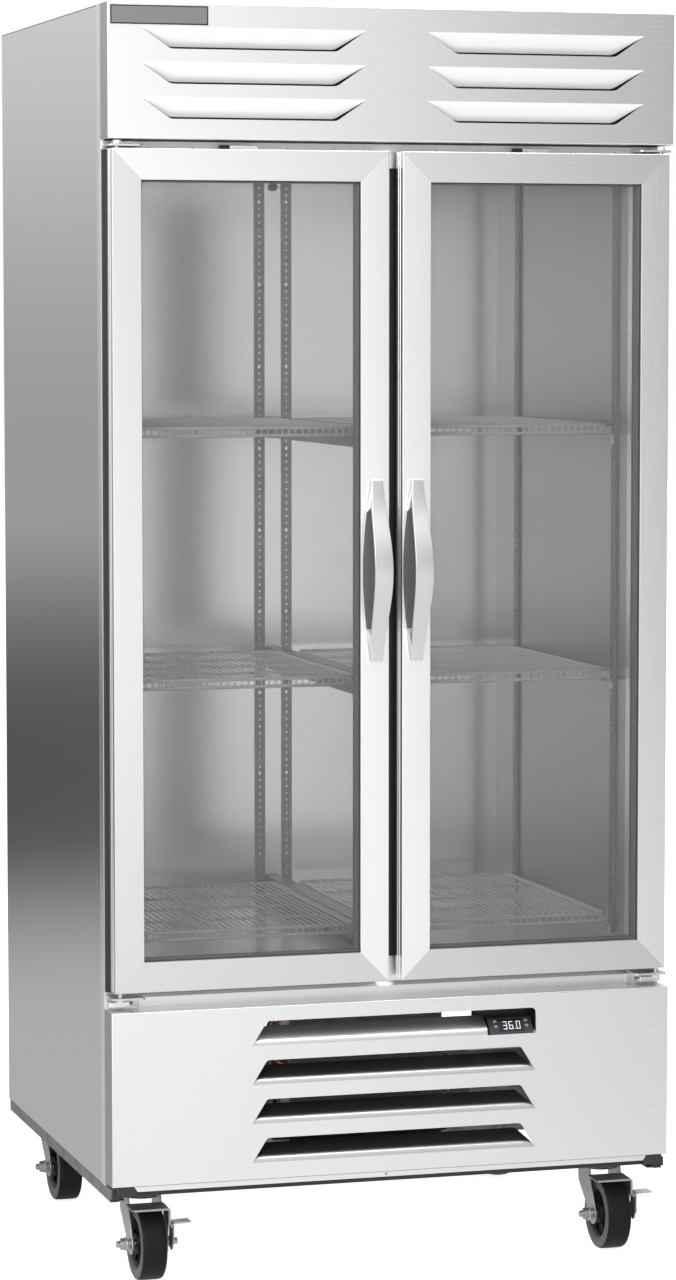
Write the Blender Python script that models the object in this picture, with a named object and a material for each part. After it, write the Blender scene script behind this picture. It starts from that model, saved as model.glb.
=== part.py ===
"""Two-door glass merchandiser refrigerator with the machine compartment below.

Metres, +Z up. The origin is on the floor under the middle of the object's box;
the doors face -Y and +X is the right-hand door. Every sub-part is one closed
body; moving pieces have their origin on the axis they turn or slide on.
"""

import math

import bmesh
import bpy
from mathutils import Matrix, Vector

# ---------------------------------------------------------------- driving sizes
WIDTH = 0.990
HALF = WIDTH / 2
FRONT_Y = -0.3995            # plane shared by hood, doors and lower panel
BACK_Y = 0.4515
FACE_Y = FRONT_Y + 0.052     # cabinet face that the door gaskets close on
SIDE_FRONT_Y = FRONT_Y + 0.0786
FLOOR_TO_BASE = 0.149
SIDE_Z = 0.171
TOP_Z = 2.1448
SHEET = 0.0015
GAP = 0.0003

HOOD_Z = 1.9227
PANEL_BOTTOM_Z = 0.1777
PANEL_TOP_Z = 0.4725
PAN_DEPTH = FACE_Y - FRONT_Y - GAP

DOOR_Z0 = 0.5053
DOOR_Z1 = 1.9069
DOOR_OUTER_X = 0.4881
DOOR_INNER_X = 0.0116
DOOR_DEPTH = 0.045
STILE = 0.0497
RAIL = 0.0510
GLASS_DEPTH = 0.024
GLASS_SETBACK = 0.008
GASKET_INSET = 0.020
GASKET_WIDTH = 0.016
PIVOT_X = 0.4765
PIVOT_Y = FRONT_Y + 0.012
PIN_RADIUS = 0.004
BORE_CLEARANCE = 0.001
BORE_DEPTH = 0.012
DOOR_EASE = 0.0012

CAVITY_X = 0.443
CAVITY_BACK_Y = FRONT_Y + 0.780
CAVITY_Z0 = 0.540
CAVITY_Z1 = 2.085
FRAME_OPENING_Z1 = 1.880
MULLION_HALF = 0.038
MULLION_DEPTH = 0.062
INSULATION_Z0 = 0.482

MACHINE_HALF = 0.460
MACHINE_Z = (0.190, 0.465)
SIDE_FLANGE = 0.025
LINER = 0.001
BADGE_X = (-0.4897, -0.3243)
BADGE_Z = (2.1089, 2.1401)

LOUVRE_ROWS_TOP = (2.1065, 2.0493, 1.9920)
LOUVRE_DROP = 0.0365
LOUVRE_TILT = math.radians(23)
HOOD_LOUVRE_SPANS = ((-0.4412, -0.0503), (0.0525, 0.4424))
LOUVRE_SLOPE = 0.053
GRILLE_ROWS_BOTTOM = (0.4034, 0.3368, 0.2702, 0.2037)
GRILLE_HALF = 0.2533
GRILLE_RISE = 0.0440
GRILLE_SLOPE = 0.0275
GRILLE_TILT = math.radians(47)
HOOD_ROUND = 0.018
GRILLE_ROUND = 0.008
FLAP_NARROWING = 0.985

SHELF_Z = (0.584, 1.0155, 1.445)
SHELF_FRONT_Y = FRONT_Y + 0.150
SHELF_BACK_Y = FRONT_Y + 0.688
SHELF_THICKNESS = 0.019
SHELF_X = (0.021, 0.437)

CONTROLLER_X = (0.1703, 0.2500)
CONTROLLER_FACE = 0.0316
CONTROLLER_TILT = math.radians(35)
BUTTON_PLACES = ((0.1826, 0.0236), (0.1830, 0.0139), (0.2389, 0.0236), (0.2392, 0.0139))
BUTTON_SIZE = (0.0066, 0.0048)
BUTTON_TRAVEL = 0.0015
BUTTON_PROUD = 0.0012
POCKET_SIZE = (0.0076, 0.0058)
POCKET_DEPTH = 0.0045
HOUSING_DEPTH = 0.028

WHEEL_RADIUS = 0.0625
WHEEL_WIDTH = 0.044
CASTER_X = 0.4164
CASTER_OFFSET = 0.042
CASTER_FRONT_Y = FRONT_Y + 0.0817 + CASTER_OFFSET
CASTER_BACK_Y = FRONT_Y + 0.7323 + CASTER_OFFSET
AXLE_HALF = 0.053
AXLE_RADIUS = 0.0055
LEG_INNER = 0.0265
LEG_OUTER = 0.0295
CROWN_Z = (0.1335, FLOOR_TO_BASE - GAP)
BRIDGE_Z = (0.1340, 0.1370)
BRIDGE_REACH = (0.026, 0.033)

HANDLE_Z0 = 1.0522
HANDLE_Z1 = 1.3578
HANDLE_X = 0.0355
HANDLE_REACH = 0.052
HANDLE_END = 0.0115
LENS_INSET = 0.047
PLATE_THICKNESS = 0.0030
STRAP_THICKNESS = 0.0045

PILASTER_X = 0.0260
PILASTER_WIDTH = 0.0195
PILASTER_SHEET = 0.0015
PILASTER_Z = (CAVITY_Z0 + 0.010, 1.890)

FAN_CENTRE_X = -0.017
FAN_CENTRE_Z = 0.326
CONDENSER_X = (-0.155, 0.121)
CONDENSER_Z = (0.205, 0.448)
CONDENSER_FRONT_Y = FRONT_Y + 0.118
CONDENSER_DEPTH = 0.055
EVAPORATOR_FAN_Z = 1.995
COVER_HALF = 0.235
COVER_Y = (-0.180, 0.300)
COVER_BOTTOM_Z = 1.905


# ---------------------------------------------------------------- shared helpers
def clear_scene():
    for old in list(bpy.data.objects):
        bpy.data.objects.remove(old, do_unlink=True)


MATERIALS = {
    # name: (colour, metallic, roughness)
    "brushed_steel": ((0.78, 0.78, 0.79), 1.0, 0.34),
    "zinc_sheet": ((0.52, 0.53, 0.54), 1.0, 0.45),
    "dark_steel": ((0.10, 0.10, 0.11), 0.8, 0.5),
    "satin_handle": ((0.80, 0.80, 0.81), 1.0, 0.28),
    "glass": ((0.55, 0.57, 0.58), 0.0, 0.05),
    "black_plastic": ((0.02, 0.02, 0.022), 0.0, 0.45),
    "black_rubber": ((0.025, 0.025, 0.027), 0.0, 0.7),
    "wheel_rubber": ((0.03, 0.03, 0.032), 0.0, 0.55),
    "white_foam": ((0.85, 0.82, 0.72), 0.0, 0.8),
    "shelf_wire": ((0.62, 0.63, 0.64), 0.7, 0.4),
    "aluminium": ((0.60, 0.61, 0.62), 1.0, 0.4),
    "lamp_lens": ((0.95, 0.95, 0.95), 0.0, 0.4),
    "grey_button": ((0.45, 0.45, 0.46), 0.0, 0.5),
    "badge_plate": ((0.60, 0.60, 0.61), 1.0, 0.4),
}


def material(name):
    found = bpy.data.materials.get(name)
    if found:
        return found
    colour, metallic, roughness = MATERIALS[name]
    made = bpy.data.materials.new(name)
    made.use_nodes = True
    shader = made.node_tree.nodes["Principled BSDF"]
    shader.inputs["Base Color"].default_value = (*colour, 1.0)
    shader.inputs["Metallic"].default_value = metallic
    shader.inputs["Roughness"].default_value = roughness
    return made


def finish(name, bm, slot, origin=(0.0, 0.0, 0.0), smooth=False):
    """Turn a bmesh in world coordinates into an object with its origin at `origin`."""
    bmesh.ops.recalc_face_normals(bm, faces=bm.faces)
    bmesh.ops.translate(bm, verts=bm.verts, vec=-Vector(origin))
    mesh = bpy.data.meshes.new(name)
    bm.to_mesh(mesh)
    bm.free()
    if smooth:
        mesh.shade_smooth()
        mesh.set_sharp_from_angle(angle=math.radians(35))
    mesh.materials.append(material(slot))
    made = bpy.data.objects.new(name, mesh)
    made.location = origin
    bpy.context.collection.objects.link(made)
    return made


def hide_as_tool(tool):
    tool.hide_render = True
    tool.display_type = "WIRE"
    return tool


def boolean(target, tool, operation):
    """Add a live Boolean of `tool` to `target`; the tool is never built itself."""
    hide_as_tool(tool)
    step = target.modifiers.new(tool.name, "BOOLEAN")
    step.operation = operation
    step.solver = "EXACT"
    step.object = tool


def place(axis, u, v, along):
    """A point from two in-plane coordinates and one along `axis`."""
    if axis == "X":
        return Vector((along, u, v))
    if axis == "Y":
        return Vector((u, along, v))
    return Vector((u, v, along))


def add_prism(bm, axis, outline, low, high, holes=()):
    """Extrude a closed outline, with holes, along an axis from low to high."""
    rim = []
    for loop in (outline, *holes):
        verts = [bm.verts.new(place(axis, u, v, low)) for u, v in loop]
        rim += [bm.edges.new((a, b)) for a, b in zip(verts, verts[1:] + verts[:1])]
    if holes:
        filled = bmesh.ops.triangle_fill(bm, edges=rim, use_beauty=True, use_dissolve=False)
        faces = [f for f in filled["geom"] if isinstance(f, bmesh.types.BMFace)]
    else:
        ring = [edge.verts[0] for edge in rim]
        faces = [bm.faces.new(ring)]
    grown = bmesh.ops.extrude_face_region(bm, geom=faces)["geom"]
    moved = [v for v in grown if isinstance(v, bmesh.types.BMVert)]
    bmesh.ops.translate(bm, verts=moved, vec=place(axis, 0.0, 0.0, high - low))
    return moved


def prism(name, slot, axis, outline, low, high, holes=(), origin=(0.0, 0.0, 0.0)):
    bm = bmesh.new()
    add_prism(bm, axis, outline, low, high, holes)
    return finish(name, bm, slot, origin)


def rectangle(u0, u1, v0, v1):
    return [(u0, v0), (u1, v0), (u1, v1), (u0, v1)]


def window_with_pads(half, outer_v, inner_v, cut_u, cut_v):
    """A rectangular window whose two corners at `outer_v` are cut in by square pads."""
    step = cut_v if inner_v > outer_v else -cut_v
    return [
        (-half + cut_u, outer_v), (half - cut_u, outer_v), (half - cut_u, outer_v + step),
        (half, outer_v + step), (half, inner_v), (-half, inner_v), (-half, outer_v + step),
        (-half + cut_u, outer_v + step),
    ]


def circle(u, v, radius, sides, start=0.0):
    step = 2 * math.pi / sides
    return [(u + radius * math.cos(start + step * i), v + radius * math.sin(start + step * i))
            for i in range(sides)]


def oval(u, v, width, height, sides):
    return [(u + width / 2 * math.cos(2 * math.pi * i / sides),
             v + height / 2 * math.sin(2 * math.pi * i / sides)) for i in range(sides)]


def box(name, slot, lo, hi, origin=(0.0, 0.0, 0.0)):
    return prism(name, slot, "Z", rectangle(lo[0], hi[0], lo[1], hi[1]), lo[2], hi[2], (), origin)


def add_lathe(bm, profile, sides, centre, axis="Z"):
    """Revolve a closed (radius, height) profile that may touch the axis."""
    rings = []
    for radius, height in profile:
        if radius < 1e-6:
            rings.append([bm.verts.new((0.0, 0.0, height))])
            continue
        ring = []
        for i in range(sides):
            turn = 2 * math.pi * i / sides
            ring.append(bm.verts.new((radius * math.cos(turn), radius * math.sin(turn), height)))
        rings.append(ring)
    closed = len(rings[0]) > 1 and len(rings[-1]) > 1
    pairs = list(zip(rings, rings[1:]))
    if closed:
        pairs.append((rings[-1], rings[0]))
    for low, high in pairs:
        for i in range(sides):
            j = (i + 1) % sides
            corners = [low[i % len(low)], low[j % len(low)], high[j % len(high)], high[i % len(high)]]
            unique = list(dict.fromkeys(corners))
            if len(unique) > 2:
                bm.faces.new(unique)
    turn = Matrix.Identity(4)
    if axis == "X":
        turn = Matrix.Rotation(math.radians(90), 4, "Y")
    if axis == "Y":
        turn = Matrix.Rotation(math.radians(-90), 4, "X")
    verts = [v for ring in rings for v in ring]
    bmesh.ops.transform(bm, matrix=Matrix.Translation(centre) @ turn, verts=verts)
    return verts


def lathe(name, slot, profile, sides, centre, axis="Z", origin=None):
    bm = bmesh.new()
    add_lathe(bm, profile, sides, centre, axis)
    return finish(name, bm, slot, origin or (0.0, 0.0, 0.0), smooth=True)


def cylinder_profile(radius, low, high):
    return [(0.0, low), (radius, low), (radius, high), (0.0, high)]


def solidify(target, thickness):
    step = target.modifiers.new("sheet", "SOLIDIFY")
    step.thickness = thickness
    step.offset = -1.0
    step.use_even_offset = True
    return step


def union_all(target, tools):
    for tool in tools:
        boolean(target, tool, "UNION")


# ---------------------------------------------------------------- bent sheet panels
def louvred_pan(name, slot, width, z0, z1, louvres):
    """A pan with four returns and bent louvres, as one sheet of even thickness.

    A louvre is (hole outline, flap outline). The hole's first edge is the bend,
    and the flap shares that edge.
    """
    bm = bmesh.new()
    half = width / 2
    corners = [(-half, z0), (half, z0), (half, z1), (-half, z1)]
    front = [bm.verts.new((x, FRONT_Y, z)) for x, z in corners]
    rim = [bm.edges.new((a, b)) for a, b in zip(front, front[1:] + front[:1])]
    outer = list(rim)
    flaps = []
    for hole, flap in louvres:
        verts = [bm.verts.new((x, FRONT_Y, z)) for x, z in hole]
        rim += [bm.edges.new((a, b)) for a, b in zip(verts, verts[1:] + verts[:1])]
        flaps.append((verts[0], verts[1], flap))
    bmesh.ops.triangle_fill(bm, edges=rim, use_beauty=True, use_dissolve=False)
    for bend_a, bend_b, flap in flaps:
        far = [bm.verts.new(point) for point in flap]
        bm.faces.new([bend_b, bend_a, *far])
    grown = bmesh.ops.extrude_edge_only(bm, edges=outer)["geom"]
    moved = [v for v in grown if isinstance(v, bmesh.types.BMVert)]
    bmesh.ops.translate(bm, verts=moved, vec=(0.0, PAN_DEPTH, 0.0))
    made = finish(name, bm, slot)
    mesh = made.data
    bm = bmesh.new()
    bm.from_mesh(mesh)
    bmesh.ops.recalc_face_normals(bm, faces=bm.faces)
    bm.faces.ensure_lookup_table()
    front_face = next(f for f in bm.faces if abs(f.normal.y) > 0.99)
    if front_face.normal.y > 0:
        bmesh.ops.reverse_faces(bm, faces=bm.faces)
    bm.to_mesh(mesh)
    bm.free()
    solidify(made, SHEET)
    return made


def corner_arc(corner, before, after, radius, steps):
    """Points of a round that replaces `corner` between two neighbours."""
    corner, before, after = Vector(corner), Vector(before), Vector(after)
    to_before = (before - corner).normalized()
    to_after = (after - corner).normalized()
    angle = to_before.angle(to_after)
    reach = radius / math.tan(angle / 2)
    centre = corner + (to_before + to_after).normalized() * (radius / math.sin(angle / 2))
    start = corner + to_before * reach - centre
    end = corner + to_after * reach - centre
    sweep = start.angle(end)
    points = []
    for i in range(steps + 1):
        part = i / steps
        mixed = (start * math.sin((1 - part) * sweep) + end * math.sin(part * sweep)) / math.sin(sweep)
        points.append(tuple(centre + mixed))
    return points


def louvre_shape(bend_left, bend_right, free_left, free_right, round_left, round_right):
    """Hole outline starting along the bend, with rounds at the free corners."""
    right = corner_arc(free_right, bend_right, free_left, round_right, 3)
    left = corner_arc(free_left, free_right, bend_left, round_left, 3)
    return [bend_left, bend_right, *right, *left]


def bent_flap(hole, tilt, narrowing):
    """The free edge of the flap cut from `hole`, turned about its bend by `tilt`."""
    bend_z = hole[0][1]
    middle = sum(x for x, _ in hole[:2]) / 2
    far = []
    for x, z in reversed(hole[2:]):
        rise = z - bend_z
        near = middle + (x - middle) * narrowing
        far.append((near, FRONT_Y + abs(rise) * math.sin(tilt), bend_z + rise * math.cos(tilt)))
    return far


def make_hood():
    louvres = []
    for top in LOUVRE_ROWS_TOP:
        for left, right in HOOD_LOUVRE_SPANS:
            low = top - LOUVRE_DROP
            hole = louvre_shape((left, top), (right, top), (left + LOUVRE_SLOPE, low),
                                (right - LOUVRE_SLOPE, low), HOOD_ROUND, HOOD_ROUND)
            louvres.append((hole, bent_flap(hole, LOUVRE_TILT, FLAP_NARROWING)))
    return louvred_pan("top_hood", "brushed_steel", WIDTH, HOOD_Z, TOP_Z, louvres)


def make_lower_grille():
    louvres = []
    for row, bottom in enumerate(GRILLE_ROWS_BOTTOM):
        top = bottom + GRILLE_RISE
        right_free = GRILLE_HALF - (0.001 if row == 0 else GRILLE_SLOPE)
        hole = louvre_shape((-GRILLE_HALF, bottom), (GRILLE_HALF, bottom),
                            (-GRILLE_HALF + GRILLE_SLOPE, top), (right_free, top),
                            GRILLE_ROUND, GRILLE_ROUND)
        flap = bent_flap(hole, GRILLE_TILT, FLAP_NARROWING)
        if row == 0:
            hole, flap = controller_opening(hole, bottom)
        louvres.append((hole, flap))
    return louvred_pan("lower_grille", "brushed_steel", WIDTH, PANEL_BOTTOM_Z, PANEL_TOP_Z, louvres)


def controller_opening(hole, bottom):
    """The top row's flap stops at the controller, whose end of the opening is clear."""
    clearance = 0.004
    stop = CONTROLLER_X[0] - clearance
    left_bend, right_bend = hole[0], hole[1]
    split = (stop, bottom)
    short = louvre_shape(left_bend, split, (-GRILLE_HALF + GRILLE_SLOPE, bottom + GRILLE_RISE),
                         (stop, bottom + GRILLE_RISE), GRILLE_ROUND, GRILLE_ROUND / 2)
    flap = bent_flap(short, GRILLE_TILT, 1.0)
    opened = [left_bend, split, right_bend, *hole[2:]]
    return opened, flap


# ---------------------------------------------------------------- cabinet
def make_cabinet():
    """Side panels with a rear flange, under one sheet that covers the top and the back."""
    flange_y = BACK_Y - SHEET - GAP
    side_top_z = TOP_Z - SHEET - GAP
    for side, sign in (("left", -1), ("right", 1)):
        outline = [
            (sign * HALF, SIDE_FRONT_Y), (sign * HALF, flange_y),
            (sign * (HALF - SIDE_FLANGE), flange_y), (sign * (HALF - SIDE_FLANGE), flange_y - SHEET),
            (sign * (HALF - SHEET), flange_y - SHEET), (sign * (HALF - SHEET), SIDE_FRONT_Y),
        ]
        prism(f"side_panel_{side}", "brushed_steel", "Z", outline, SIDE_Z, side_top_z)

    inner_x = HALF - SHEET - GAP
    inner_back_y = flange_y - SHEET - GAP
    bent = [
        (SIDE_FRONT_Y, TOP_Z), (SIDE_FRONT_Y, TOP_Z - SHEET), (BACK_Y - SHEET, TOP_Z - SHEET),
        (BACK_Y - SHEET, INSULATION_Z0), (BACK_Y, INSULATION_Z0), (BACK_Y, TOP_Z),
    ]
    prism("top_back_panel", "zinc_sheet", "X", bent, -HALF, HALF)

    cavity = rectangle(-CAVITY_X, CAVITY_X, CAVITY_Z0, FRAME_OPENING_Z1)
    machine = rectangle(-MACHINE_HALF, MACHINE_HALF, *MACHINE_Z)
    prism("face_frame", "brushed_steel", "Y", rectangle(-HALF, HALF, SIDE_Z, TOP_Z),
          FACE_Y, SIDE_FRONT_Y - GAP, (cavity, machine))

    chamfer = 0.004
    post = [
        (-MULLION_HALF, FACE_Y + chamfer), (-MULLION_HALF + chamfer, FACE_Y),
        (MULLION_HALF - chamfer, FACE_Y), (MULLION_HALF, FACE_Y + chamfer),
        (MULLION_HALF, FACE_Y + MULLION_DEPTH), (-MULLION_HALF, FACE_Y + MULLION_DEPTH),
    ]
    prism("mullion", "black_plastic", "Z", post, CAVITY_Z0 + GAP, FRAME_OPENING_Z1 - GAP)

    foam_x = CAVITY_X + LINER + GAP
    open_shell("insulation_body", "white_foam",
               (-inner_x, SIDE_FRONT_Y, INSULATION_Z0),
               (inner_x, inner_back_y, TOP_Z - SHEET - GAP),
               (-foam_x, CAVITY_Z0 - LINER - GAP),
               (foam_x, CAVITY_Z1 + LINER + GAP), CAVITY_BACK_Y + LINER + GAP)
    open_shell("inner_liner", "brushed_steel",
               (-CAVITY_X - LINER, SIDE_FRONT_Y, CAVITY_Z0 - LINER),
               (CAVITY_X + LINER, CAVITY_BACK_Y + LINER, CAVITY_Z1 + LINER),
               (-CAVITY_X, CAVITY_Z0), (CAVITY_X, CAVITY_Z1), CAVITY_BACK_Y)
    make_base_frame(inner_x)
    box("badge_plate", "badge_plate", (BADGE_X[0], FRONT_Y - SHEET, BADGE_Z[0]),
        (BADGE_X[1], FRONT_Y - GAP, BADGE_Z[1]))


def open_shell(name, slot, lo, hi, inner_lo, inner_hi, inner_back):
    """A five-sided box open towards -Y, from outer corners and its inner opening."""
    bm = bmesh.new()
    outer = rectangle(lo[0], hi[0], lo[2], hi[2])
    inner = rectangle(inner_lo[0], inner_hi[0], inner_lo[1], inner_hi[1])

    def ring(points, y):
        return [bm.verts.new((x, y, z)) for x, z in points]

    outer_front, outer_back = ring(outer, lo[1]), ring(outer, hi[1])
    inner_front, inner_deep = ring(inner, lo[1]), ring(inner, inner_back)
    for i in range(4):
        j = (i + 1) % 4
        bm.faces.new((outer_front[i], outer_front[j], inner_front[j], inner_front[i]))
        bm.faces.new((outer_front[j], outer_front[i], outer_back[i], outer_back[j]))
        bm.faces.new((inner_front[i], inner_front[j], inner_deep[j], inner_deep[i]))
    bm.faces.new(outer_back)
    bm.faces.new(inner_deep)
    return finish(name, bm, slot)


def make_base_frame(inner_x):
    """Channel ring with widened corners for the casters and one cross rail."""
    front, back = FRONT_Y + 0.012, BACK_Y - 0.004
    rail = 0.040
    mid_y = FRONT_Y + 0.420
    pad_width, front_pad, rear_pad = 0.075, 0.130, 0.110
    windows = [
        window_with_pads(inner_x - rail, front + rail, mid_y - rail / 2, pad_width, front_pad),
        window_with_pads(inner_x - rail, back - rail, mid_y + rail / 2, pad_width, rear_pad),
    ]
    prism("base_frame", "zinc_sheet", "Z", rectangle(-inner_x, inner_x, front, back),
          FLOOR_TO_BASE, SIDE_Z - GAP, windows)


# ---------------------------------------------------------------- doors
def ring_prism(bm, x0, x1, z0, z1, band_x, band_z, y0, y1):
    """A mitred rectangular ring between y0 and y1."""
    outer = rectangle(x0, x1, z0, z1)
    inner = rectangle(x0 + band_x, x1 - band_x, z0 + band_z, z1 - band_z)
    loops = []
    for y in (y0, y1):
        for points in (outer, inner):
            loops.append([bm.verts.new((x, y, z)) for x, z in points])
    front_out, front_in, back_out, back_in = loops
    for i in range(4):
        j = (i + 1) % 4
        bm.faces.new((front_out[i], front_out[j], front_in[j], front_in[i]))
        bm.faces.new((back_out[i], back_in[i], back_in[j], back_out[j]))
        bm.faces.new((front_out[i], back_out[i], back_out[j], front_out[j]))
        bm.faces.new((front_in[i], front_in[j], back_in[j], back_in[i]))


def ease_convex_edges(bm, width):
    """Chamfer the convex edges of a flat-sided body and leave its inside corners."""
    bmesh.ops.recalc_face_normals(bm, faces=bm.faces)
    sharp = [e for e in bm.edges if e.is_convex and e.calc_face_angle(0.0) > math.radians(40)]
    bmesh.ops.bevel(bm, geom=sharp, offset=width, segments=1, affect="EDGES")


def make_door(side, sign):
    pivot = (sign * PIVOT_X, PIVOT_Y, 0.0)
    x0, x1 = sorted((sign * DOOR_OUTER_X, sign * DOOR_INNER_X))

    bm = bmesh.new()
    ring_prism(bm, x0, x1, DOOR_Z0, DOOR_Z1, STILE, RAIL, FRONT_Y, FRONT_Y + DOOR_DEPTH)
    ease_convex_edges(bm, DOOR_EASE)
    frame = finish(f"door_frame_{side}", bm, "brushed_steel", pivot)
    bore = cylinder_profile(PIN_RADIUS + BORE_CLEARANCE, -BORE_DEPTH, BORE_DEPTH)
    for end, z in (("bottom", DOOR_Z0), ("top", DOOR_Z1)):
        tool = lathe(f"bore_{side}_{end}", "dark_steel", bore, 12, (pivot[0], pivot[1], z))
        boolean(frame, tool, "DIFFERENCE")

    glass_x0, glass_x1 = x0 + STILE + GAP, x1 - STILE - GAP
    glass_y0 = FRONT_Y + GLASS_SETBACK
    prism(f"door_glass_{side}", "glass", "Y",
          rectangle(glass_x0, glass_x1, DOOR_Z0 + RAIL + GAP, DOOR_Z1 - RAIL - GAP),
          glass_y0, glass_y0 + GLASS_DEPTH, (), pivot)

    bm = bmesh.new()
    ring_prism(bm, x0 + GASKET_INSET, x1 - GASKET_INSET, DOOR_Z0 + GASKET_INSET,
               DOOR_Z1 - GASKET_INSET, GASKET_WIDTH, GASKET_WIDTH,
               FRONT_Y + DOOR_DEPTH + GAP, FACE_Y - GAP)
    finish(f"door_gasket_{side}", bm, "black_rubber", pivot)
    make_handle(side, sign, pivot)


def swell(z):
    """0 at the handle's ends and 1 at its middle."""
    part = (z - HANDLE_Z0) / (HANDLE_Z1 - HANDLE_Z0)
    return 0.5 - 0.5 * math.cos(2 * math.pi * part)


def handle_reach(z):
    return HANDLE_END + (HANDLE_REACH - HANDLE_END) * swell(z)


def handle_half_width(y, z):
    """Half width, from the wide back plate to the narrower strap in front."""
    grow = math.sin(math.pi * (z - HANDLE_Z0) / (HANDLE_Z1 - HANDLE_Z0))
    plate_end, plate_middle = 0.0105, 0.0243
    strap_end, strap_middle = 0.0090, 0.0156
    plate = plate_end + (plate_middle - plate_end) * grow
    strap = strap_end + (strap_middle - strap_end) * grow
    depth = min(1.0, (FRONT_Y - y) / handle_reach(z))
    return plate + (strap - plate) * depth


def make_handle(side, sign, pivot):
    """A bowed pull: a back plate and a strap that meet in solid ends."""
    back_y = FRONT_Y - GAP
    steps = 16
    rows = [HANDLE_Z0 + (HANDLE_Z1 - HANDLE_Z0) * i / steps for i in range(steps + 1)]
    outer = [(FRONT_Y - handle_reach(z), z) for z in rows]
    outline = [(back_y, HANDLE_Z1), (back_y, HANDLE_Z0), *outer]
    lens_low, lens_high = HANDLE_Z0 + LENS_INSET, HANDLE_Z1 - LENS_INSET
    lens_steps = 10
    lens_rows = [lens_low + (lens_high - lens_low) * i / lens_steps for i in range(lens_steps + 1)]
    least_gap = 0.001
    near = [(FRONT_Y - PLATE_THICKNESS, z) for z in lens_rows[1:-1]]
    far = [(FRONT_Y - max(PLATE_THICKNESS + least_gap, handle_reach(z) - STRAP_THICKNESS), z)
           for z in lens_rows]
    hole = near + list(reversed(far))
    bm = bmesh.new()
    add_prism(bm, "X", outline, -1.0, 1.0, (hole,))
    middle = sign * HANDLE_X
    for vert in bm.verts:
        vert.co.x = middle + vert.co.x * handle_half_width(vert.co.y, vert.co.z)
    finish(f"door_handle_{side}", bm, "satin_handle", pivot, smooth=True)


def make_hinge(side, sign, end, plate_z, leaf_z, pin_z, bush_z):
    """Leaf on the face frame, plate out to the pivot, and a pin into the door."""
    outer_x, inner_x = 0.4925, 0.4360
    nose, leaf_thickness, bush_radius = 0.011, 0.003, 0.0070
    x0, x1 = sorted((sign * outer_x, sign * inner_x))
    back = FACE_Y - GAP
    pivot = (sign * PIVOT_X, PIVOT_Y, 0.0)
    name = f"hinge_{end}_{side}"
    plate = box(name, "zinc_sheet", (x0, PIVOT_Y - nose, plate_z[0]), (x1, back, plate_z[1]))
    leaf = box(name + "_leaf", "zinc_sheet", (x0, back - leaf_thickness, leaf_z[0]), (x1, back, leaf_z[1]))
    pin = lathe(name + "_pin", "dark_steel", cylinder_profile(PIN_RADIUS, *pin_z), 12, pivot)
    bush = lathe(name + "_bush", "lamp_lens", cylinder_profile(bush_radius, *bush_z), 12, pivot)
    union_all(plate, (leaf, pin, bush))


def make_hinges():
    """Top hinges carry the plate above the door, bottom hinges below it."""
    reach = 0.010
    bite = 0.001
    for side, sign in (("left", -1), ("right", 1)):
        top_plate = (1.9105, 1.9140)
        make_hinge(side, sign, "top", top_plate, (1.9085, 1.9215),
                   (DOOR_Z1 - reach, top_plate[0] + bite), (top_plate[1] - bite, 1.9205))
        low_plate = (0.4935, 0.4970)
        make_hinge(side, sign, "bottom", low_plate, (0.4755, 0.4970),
                   (low_plate[1] - bite, DOOR_Z0 + reach), (0.4880, low_plate[0] + bite))


# ---------------------------------------------------------------- shelves
def make_shelves():
    """Each shelf is a rim with bars from front to back, as one lattice plate."""
    bars = 11
    rim = 0.006
    for column, sign in (("left", -1), ("right", 1)):
        x0, x1 = sorted((sign * SHELF_X[0], sign * SHELF_X[1]))
        pitch = (x1 - x0 - rim) / bars
        middle = (SHELF_FRONT_Y + SHELF_BACK_Y) / 2
        slots = []
        for i in range(bars):
            left = x0 + rim + pitch * i
            for y0, y1 in ((SHELF_FRONT_Y + rim, middle - rim / 2), (middle + rim / 2, SHELF_BACK_Y - rim)):
                slots.append(rectangle(left, left + pitch - rim, y0, y1))
        for level, top in zip(("bottom", "middle", "top"), SHELF_Z):
            prism(f"shelf_{column}_{level}", "shelf_wire", "Z",
                  rectangle(x0, x1, SHELF_FRONT_Y, SHELF_BACK_Y), top - SHELF_THICKNESS, top, slots)


def channel(width, depth, thickness):
    """A shallow U in section, open side at 0 depth."""
    half = width / 2
    return [(-half, 0.0), (-half, depth), (half, depth), (half, 0.0),
            (half - thickness, 0.0), (half - thickness, depth - thickness),
            (-half + thickness, depth - thickness), (-half + thickness, 0.0)]


def make_pilasters():
    """Punched shelf standards: two on the back wall and two on each side wall."""
    back_section = channel(PILASTER_WIDTH, 0.0090, PILASTER_SHEET)
    side_section = channel(PILASTER_WIDTH, 0.0045, PILASTER_SHEET)
    wall_places = (("front", FRONT_Y + 0.136), ("rear", FRONT_Y + 0.660))
    for side, sign in (("left", -1), ("right", 1)):
        outline = [(sign * PILASTER_X + u, CAVITY_BACK_Y - GAP - v) for u, v in back_section]
        prism(f"pilaster_back_{side}", "zinc_sheet", "Z", outline, *PILASTER_Z)
        wall = sign * (CAVITY_X - GAP)
        for place_name, y in wall_places:
            outline = [(wall - sign * v, y + u) for u, v in side_section]
            prism(f"pilaster_{side}_{place_name}", "zinc_sheet", "Z", outline, *PILASTER_Z)


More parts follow.
